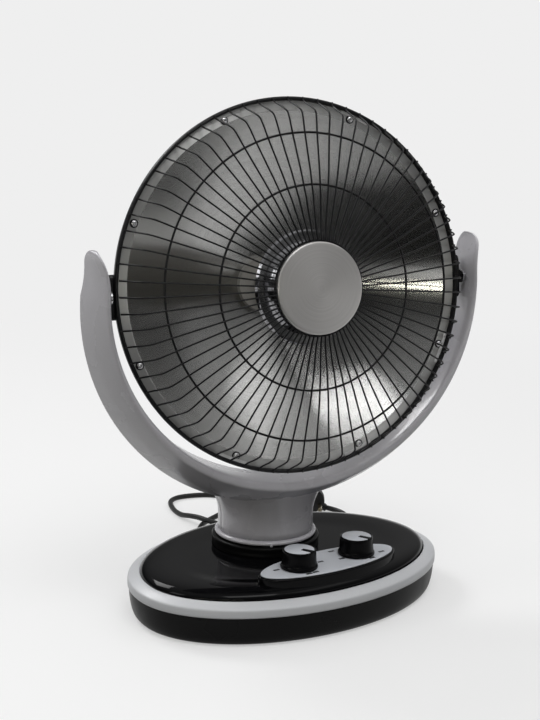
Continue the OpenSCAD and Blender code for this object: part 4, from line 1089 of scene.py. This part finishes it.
# %% [markdown]
# ## The guard's rings
# Three round hoops of thicker wire tie the bent wires together. A torus would do; spinning a
# small ring of points gives the same shape with the helper that is there already.

# %% Guard rings
bm = bmesh.new()
for r, z in ((RING1_R, RING1_Z), (RING2_R, RING2_Z), (HUB_RING_R, CAP_Z - 0.5)):
    spun(bm, [(r + RING_WIRE_R * math.cos(k * math.pi / 5),
               z + RING_WIRE_R * math.sin(k * math.pi / 5)) for k in range(10)],
         144, closed=True)
place(bm, "round_guard_rings", "dish", black_enamel, dish_frame,
      ["guard_rings"], sharp=80)

# %% [markdown]
# ## The cup and the centre cap
# A chrome cup hides the heating element from the front and turns its heat onto the bowl. The
# cap on it is satin aluminium with a rolled edge that catches the light.

# %% Cup and cap
PLATE_Z = CAP_Z - 1
CUP_T = 0.8
cup_side = [(CUP_R, CUP_Z), (CUP_R - 0.5, CUP_Z + 0.7), (CUP_R - 1.4, CUP_Z + 1.6),
            (CUP_R - 2.4, CUP_Z + 3.6), (CUP_R - 3.6, CUP_Z + 6.5), (CUP_R - 5.2, CUP_Z + 10),
            (CUP_R - 7, CUP_Z + 14), (CAP_R + 1.6, PLATE_Z - 5.2), (CAP_R + 0.2, PLATE_Z - 3.0),
            (CAP_R - 1.2, PLATE_Z - 1), (CAP_R - 3, PLATE_Z)]
cup_line = cup_side + [(0, PLATE_Z), (0, PLATE_Z - CUP_T)]
cup_line += [(r - (0.9 if i == 0 else 1.0), z - (CUP_T if i > 6 else 0))
             for i, (r, z) in reversed(list(enumerate(cup_side)))]
bm = bmesh.new()
spun(bm, cup_line, 144)
cup = place(bm, "chrome_cup", "dish", cup_chrome, dish_frame, ["cap_cup"],
            sharp=50)
map_round(cup, dish_frame)
CAP_H = 3.6
cap_line = eased(
    [(0, CAP_Z), (CAP_R - 1.4, CAP_Z), (CAP_R - 0.4, CAP_Z + 0.8), (CAP_R, CAP_Z + 2),
     (CAP_R - 0.2, CAP_Z + CAP_H - 0.6), (CAP_R - 1.4, CAP_Z + CAP_H + 0.1),
     (CAP_R * 0.86, CAP_Z + CAP_H + 0.5), (CAP_R * 0.6, CAP_Z + CAP_H + 1.3),
     (CAP_R * 0.3, CAP_Z + CAP_H + 1.8), (0, CAP_Z + CAP_H + 2)])
bm = bmesh.new()
spun(bm, cap_line, 144)
cap = place(bm, "satin_cap", "dish", cap_aluminium, dish_frame,
            ["centre_cap"], sharp=60)
map_round(cap, dish_frame)

# %% [markdown]
# ## The heating element
# The glow wire of such a heater is itself a fine spring, laid in turns round a ceramic core.
# The solid has the laid turns as a plain tube; here the spring's own small turns are added,
# as one long thin rod that winds round the tube's line.

# %% Coiled heating wire
CORE_R, GLOW_D, GLOW_TURNS, GLOW_PITCH = 12.0, 3.0, 12, 4.6
GLOW_START = CUP_Z + 6 - 8 - GLOW_TURNS * GLOW_PITCH
GLOW_R = CORE_R + GLOW_D / 2 + 0.15
SPRING_TURNS, SPRING_POINTS, SPRING_WIRE = 76, 7, 0.32
spring_line = []
for i in range(GLOW_TURNS * SPRING_TURNS * SPRING_POINTS + 1):
    turns = i / (SPRING_TURNS * SPRING_POINTS)
    a, b = 2 * math.pi * turns, 2 * math.pi * i / SPRING_POINTS
    r = GLOW_R + (GLOW_D / 2 - SPRING_WIRE) * math.cos(b)
    z = GLOW_START + GLOW_PITCH * turns + (GLOW_D / 2 - SPRING_WIRE) * math.sin(b)
    spring_line.append(dish_frame @ Vector((r * math.cos(a), r * math.sin(a), z)))
glow_wire = curve_along("glow_wire", spring_line, radius=SPRING_WIRE * MM, resolution=0)
glow_wire.data.materials.append(element_metal)
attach(glow_wire, "dish")
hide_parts("heating_coil")
print("glow wire points:", len(spring_line))

# %% [markdown]
# ## Plug and strain relief
# The plug lies behind the base and only its edge shows beside the neck. The strain relief has
# ribs that let it bend with the lead. Both are turned about their own lines.

# %% Strain relief at the back of the base
RIBS = 6
relief = [(7.4, -18), (7.4, -15), (5.9, -15), (5.9, -2.2), (8, -2.2), (8, 2.4)]
for i in range(RIBS):
    r = mix(6.2, LEAD_D / 2 + 1.4, i / RIBS)
    z = mix(3.0, 20.5, i / RIBS)
    relief += [(r, z), (r, z + 2.0), (r - 0.9, z + 2.2), (r - 0.9, z + 2.9)]
relief += [(LEAD_D / 2 + 0.3, 23.8), (LEAD_D / 2 + 0.1, 24)]
gland_frame = (
    SCALE @ Matrix.Translation((10, REAR_DEP, 14)) @ Matrix.Rotation(math.radians(-90), 4, "X")
)
bm = bmesh.new()
spun(bm, [(0, -18)] + relief + [(0, 24)], 40)
place(bm, "ribbed_relief", "base", cord_black, gland_frame, ["cord_gland"])

# %% Plug
PLUG_FACE, PLUG_YAW, PLUG_R, PLUG_LEN = Vector((186, 203, 14.3)), 54, 14, 20
RELIEF_FALL, ENTRY_LEN = 35, 20
plug_frame = (
    SCALE @ Matrix.Translation(PLUG_FACE)
    @ Matrix.Rotation(math.radians(PLUG_YAW), 4, "Z")
    @ Matrix.Rotation(math.radians(90), 4, "Y")
)
plug_line = eased(
    [(0, 0), (PLUG_R - 1, 0), (PLUG_R, 1), (PLUG_R, 5), (PLUG_R - 0.6, 5.6), (PLUG_R - 0.6, 7),
     (PLUG_R, 7.6), (PLUG_R, PLUG_LEN - 5), (PLUG_R - 2.5, PLUG_LEN - 1),
     (PLUG_R - 6, PLUG_LEN), (0, PLUG_LEN)])
bm = bmesh.new()
spun(bm, plug_line, 64)
plug = place(bm, "side_entry_plug", "base", cord_black, plug_frame,
             ["plug_body"], sharp=60)
middle = PLUG_FACE + 8 * Vector((math.cos(math.radians(PLUG_YAW)),
                                 math.sin(math.radians(PLUG_YAW)), 0))
entry_frame = (
    SCALE @ Matrix.Translation(middle)
    @ Matrix.Rotation(math.radians(PLUG_YAW - 90), 4, "Z")
    @ Matrix.Rotation(math.radians(90 + RELIEF_FALL), 4, "Y")
)
entry_line = [(0, 0), (6, 0)]
for z in range(13, 19, 2):
    r = mix(6, 4, z / ENTRY_LEN)
    entry_line += [(r, z), (r, z + 1.1), (r - 0.6, z + 1.2), (r - 0.6, z + 1.9)]
entry_line += [(4, ENTRY_LEN - 0.8), (3.6, ENTRY_LEN), (0, ENTRY_LEN)]
bm = bmesh.new()
spun(bm, entry_line, 32)
plug_entry = place(bm, "plug_relief", "base", cord_black, entry_frame)

# %% [markdown]
# ## The floor
# The floor is a wide pale sheet that turns up into a low wall far away, so that no edge of it
# shows. A floor that was truly as pale as the background would light the heater from below, so
# Light Path's rays part the two: looked at, or mirrored, the floor has the background's tone,
# and for the light that it scatters it is dark. The soft shadow round the heater stays.

# %% Floor
BACKGROUND = 0.863
FLOOR_LINE = [(0, 0), (400, 0), (2000, 0), (10000, 0), (11400, 150), (12000, 1200)]
UNSEEN_TONE, SEEN_TONE = 0.14, 0.95
SHADOW_FROM, SHADOW_TO = 0.3, 1.5  # metres from the middle, over which the shadow fades


def pale_where(tree, share, shader):
    """Ends a stage material: the background's tone over a shader, by a share."""
    pale = add(tree, "Emission", {"Color": rgb(1, 1, 1), "Strength": BACKGROUND})
    both = add(tree, "MixShader", {0: share, 1: shader, 2: pale.outputs[0]})
    tree.links.new(both.outputs[0], tree.nodes["Material Output"].inputs["Surface"])


bm = bmesh.new()
spun(bm, FLOOR_LINE, 96)
bmesh.ops.recalc_face_normals(bm, faces=bm.faces)
bmesh.ops.transform(bm, matrix=SCALE, verts=bm.verts)
floor_mesh = bpy.data.meshes.new("floor")
bm.to_mesh(floor_mesh)
bm.free()
floor_mesh.shade_smooth()
floor = linked("floor", floor_mesh)
floor_paint, tree, bsdf = shader_of("floor_paint")
bsdf.inputs["Roughness"].default_value = 0.9
bsdf.inputs["Specular IOR Level"].default_value = 0.0
path_of = add(tree, "LightPath")
seen = add(tree, "Math", {0: path_of.outputs["Is Camera Ray"],
                          1: path_of.outputs["Is Glossy Ray"]}, operation="MAXIMUM")
seen = add(tree, "Math", {0: seen.outputs[0], 1: path_of.outputs["Is Transmission Ray"]},
           operation="MAXIMUM")
spot = add(tree, "TexCoord").outputs["Object"]
far = add(tree, "VectorMath", {0: spot}, operation="LENGTH").outputs["Value"]
lit = remap(tree, seen.outputs[0], 0.0, 1.0, UNSEEN_TONE, SEEN_TONE)
tone = add(tree, "CombineColor", {0: lit, 1: lit, 2: lit})
tree.links.new(tone.outputs[0], bsdf.inputs["Base Color"])
pale_share = remap(tree, far, SHADOW_FROM, SHADOW_TO, 0.5, 1.0)
seen = add(tree, "Math", {0: seen.outputs[0], 1: pale_share}, operation="MULTIPLY")
pale_where(tree, seen.outputs[0], bsdf.outputs[0])
floor_mesh.materials.append(floor_paint)
print("floor:", len(floor_mesh.polygons), "faces")

# %% [markdown]
# ## A dark mat for the bowl to mirror
# Bright metal is only as dark as what it mirrors. A dark mat on the floor, nearer than the
# picture's lower edge, gives the bowl its black part. Painting the dark into the metal would be
# simpler, but it would stay there under any other light. Looked at straight, the mat is as
# pale as the floor.

# %% Dark mat
MAT_MIDDLE, MAT_SIZE = (-1.6, -4.4, 0.004), (6.0, 8.0, 1, 1)
bm = bmesh.new()
bmesh.ops.create_grid(bm, x_segments=1, y_segments=1, size=0.5)
bmesh.ops.transform(
    bm,
    matrix=Matrix.Rotation(VIEW_AZIMUTH, 4, "Z") @ Matrix.Translation(MAT_MIDDLE)
    @ Matrix.Diagonal(MAT_SIZE),
    verts=bm.verts,
)
mat_mesh = bpy.data.meshes.new("dark_mat")
bm.to_mesh(mat_mesh)
bm.free()
dark_mat = linked("dark_mat", mat_mesh)
felt = moulded("dark_felt", (0.01, 0.01, 0.01), 0.8, 0.95, grain=0.3, Specular_IOR_Level=0.0)
tree = felt.node_tree
pale_where(tree, add(tree, "LightPath").outputs["Is Camera Ray"],
           tree.nodes["Principled BSDF"].outputs[0])
mat_mesh.materials.append(felt)
print("mat:", MAT_SIZE[0], "x", MAT_SIZE[1], "m")

# %% [markdown]
# ## The world
# Round the heater is a plain dim studio, lighter overhead and a little lighter at the right. A
# picture of a real room would bring more to mirror, but no control over where it falls. Looked
# at straight, the world has the floor's own pale tone, so that no line parts the two.

# %% World
OVERHEAD_FROM, OVERHEAD_TO, SKY_LOW, SKY_HIGH = 0.25, 0.95, 0.05, 0.7
RIGHT_FROM, RIGHT_TO, RIGHT_HIGH = 0.1, 0.9, 0.25
world = bpy.data.worlds.new("studio")
bpy.context.scene.world = world
world.use_nodes = True
tree = world.node_tree
sky = tree.nodes["Background"]
way = add(tree, "SeparateXYZ", {0: add(tree, "TexCoord").outputs["Generated"]})
overhead = remap(tree, way.outputs["Z"], OVERHEAD_FROM, OVERHEAD_TO, SKY_LOW, SKY_HIGH)
at_right = remap(tree, way.outputs["X"], RIGHT_FROM, RIGHT_TO, 0.0, RIGHT_HIGH)
level = add(tree, "Math", {0: overhead, 1: at_right}, operation="ADD")
plain = add(tree, "Math", {0: add(tree, "LightPath").outputs["Is Camera Ray"],
                           1: BACKGROUND}, operation="MULTIPLY")
level = add(tree, "Math", {0: level.outputs[0], 1: plain.outputs[0]}, operation="MAXIMUM")
tone = add(tree, "CombineColor", {0: level.outputs[0], 1: level.outputs[0],
                                  2: level.outputs[0]})
tree.links.new(tone.outputs[0], sky.inputs["Color"])
sky.inputs["Strength"].default_value = 1.0
print("world:", world.name)

# %% [markdown]
# ## The lamps
# Five soft boxes light the heater: a large one high in front, a narrow warm strip low at the
# left, two weak fills at the right and the left, and one behind at the left. Boxes are used and
# not points or a sun, because shiny metal and glossy black show the very shape of each lamp.

# %% Lamps
LAMP_AIM = Vector((0, 0, 0.33))
# Degrees round and up, metres away, wide and high, watts, and colour
LAMPS = {
    "key_box": (-19, 57, 2.2, 1.15, 0.8, 15, (1, 1, 1)),
    "left_strip": (-50, 6, 2.0, 1.7, 0.03, 3.2, (1, 0.98, 0.84)),
    "right_fill": (38, 46, 2.6, 1.7, 0.9, 5, (1, 1, 1)),
    "left_fill": (-100, 26, 2.4, 0.8, 0.8, 6, (1, 1, 1)),
    "back_left": (-165, 38, 2.4, 1.0, 0.8, 20, (1, 1, 1)),
}
for name, (azimuth, elevation, distance, width, height, watts, color) in LAMPS.items():
    data = bpy.data.lights.new(name, "AREA")
    data.shape = "RECTANGLE"
    data.size, data.size_y = width, height
    data.energy = watts
    data.color = color
    stand = linked(name, data)
    away = outward(math.radians(azimuth), math.radians(elevation))
    stand.location = LAMP_AIM + away * distance
    stand.rotation_mode = "QUATERNION"
    stand.rotation_quaternion = (-away).to_track_quat("-Z", "Y")
bpy.context.scene.view_settings.view_transform = "Standard"
print("lamps:", ", ".join(LAMPS))
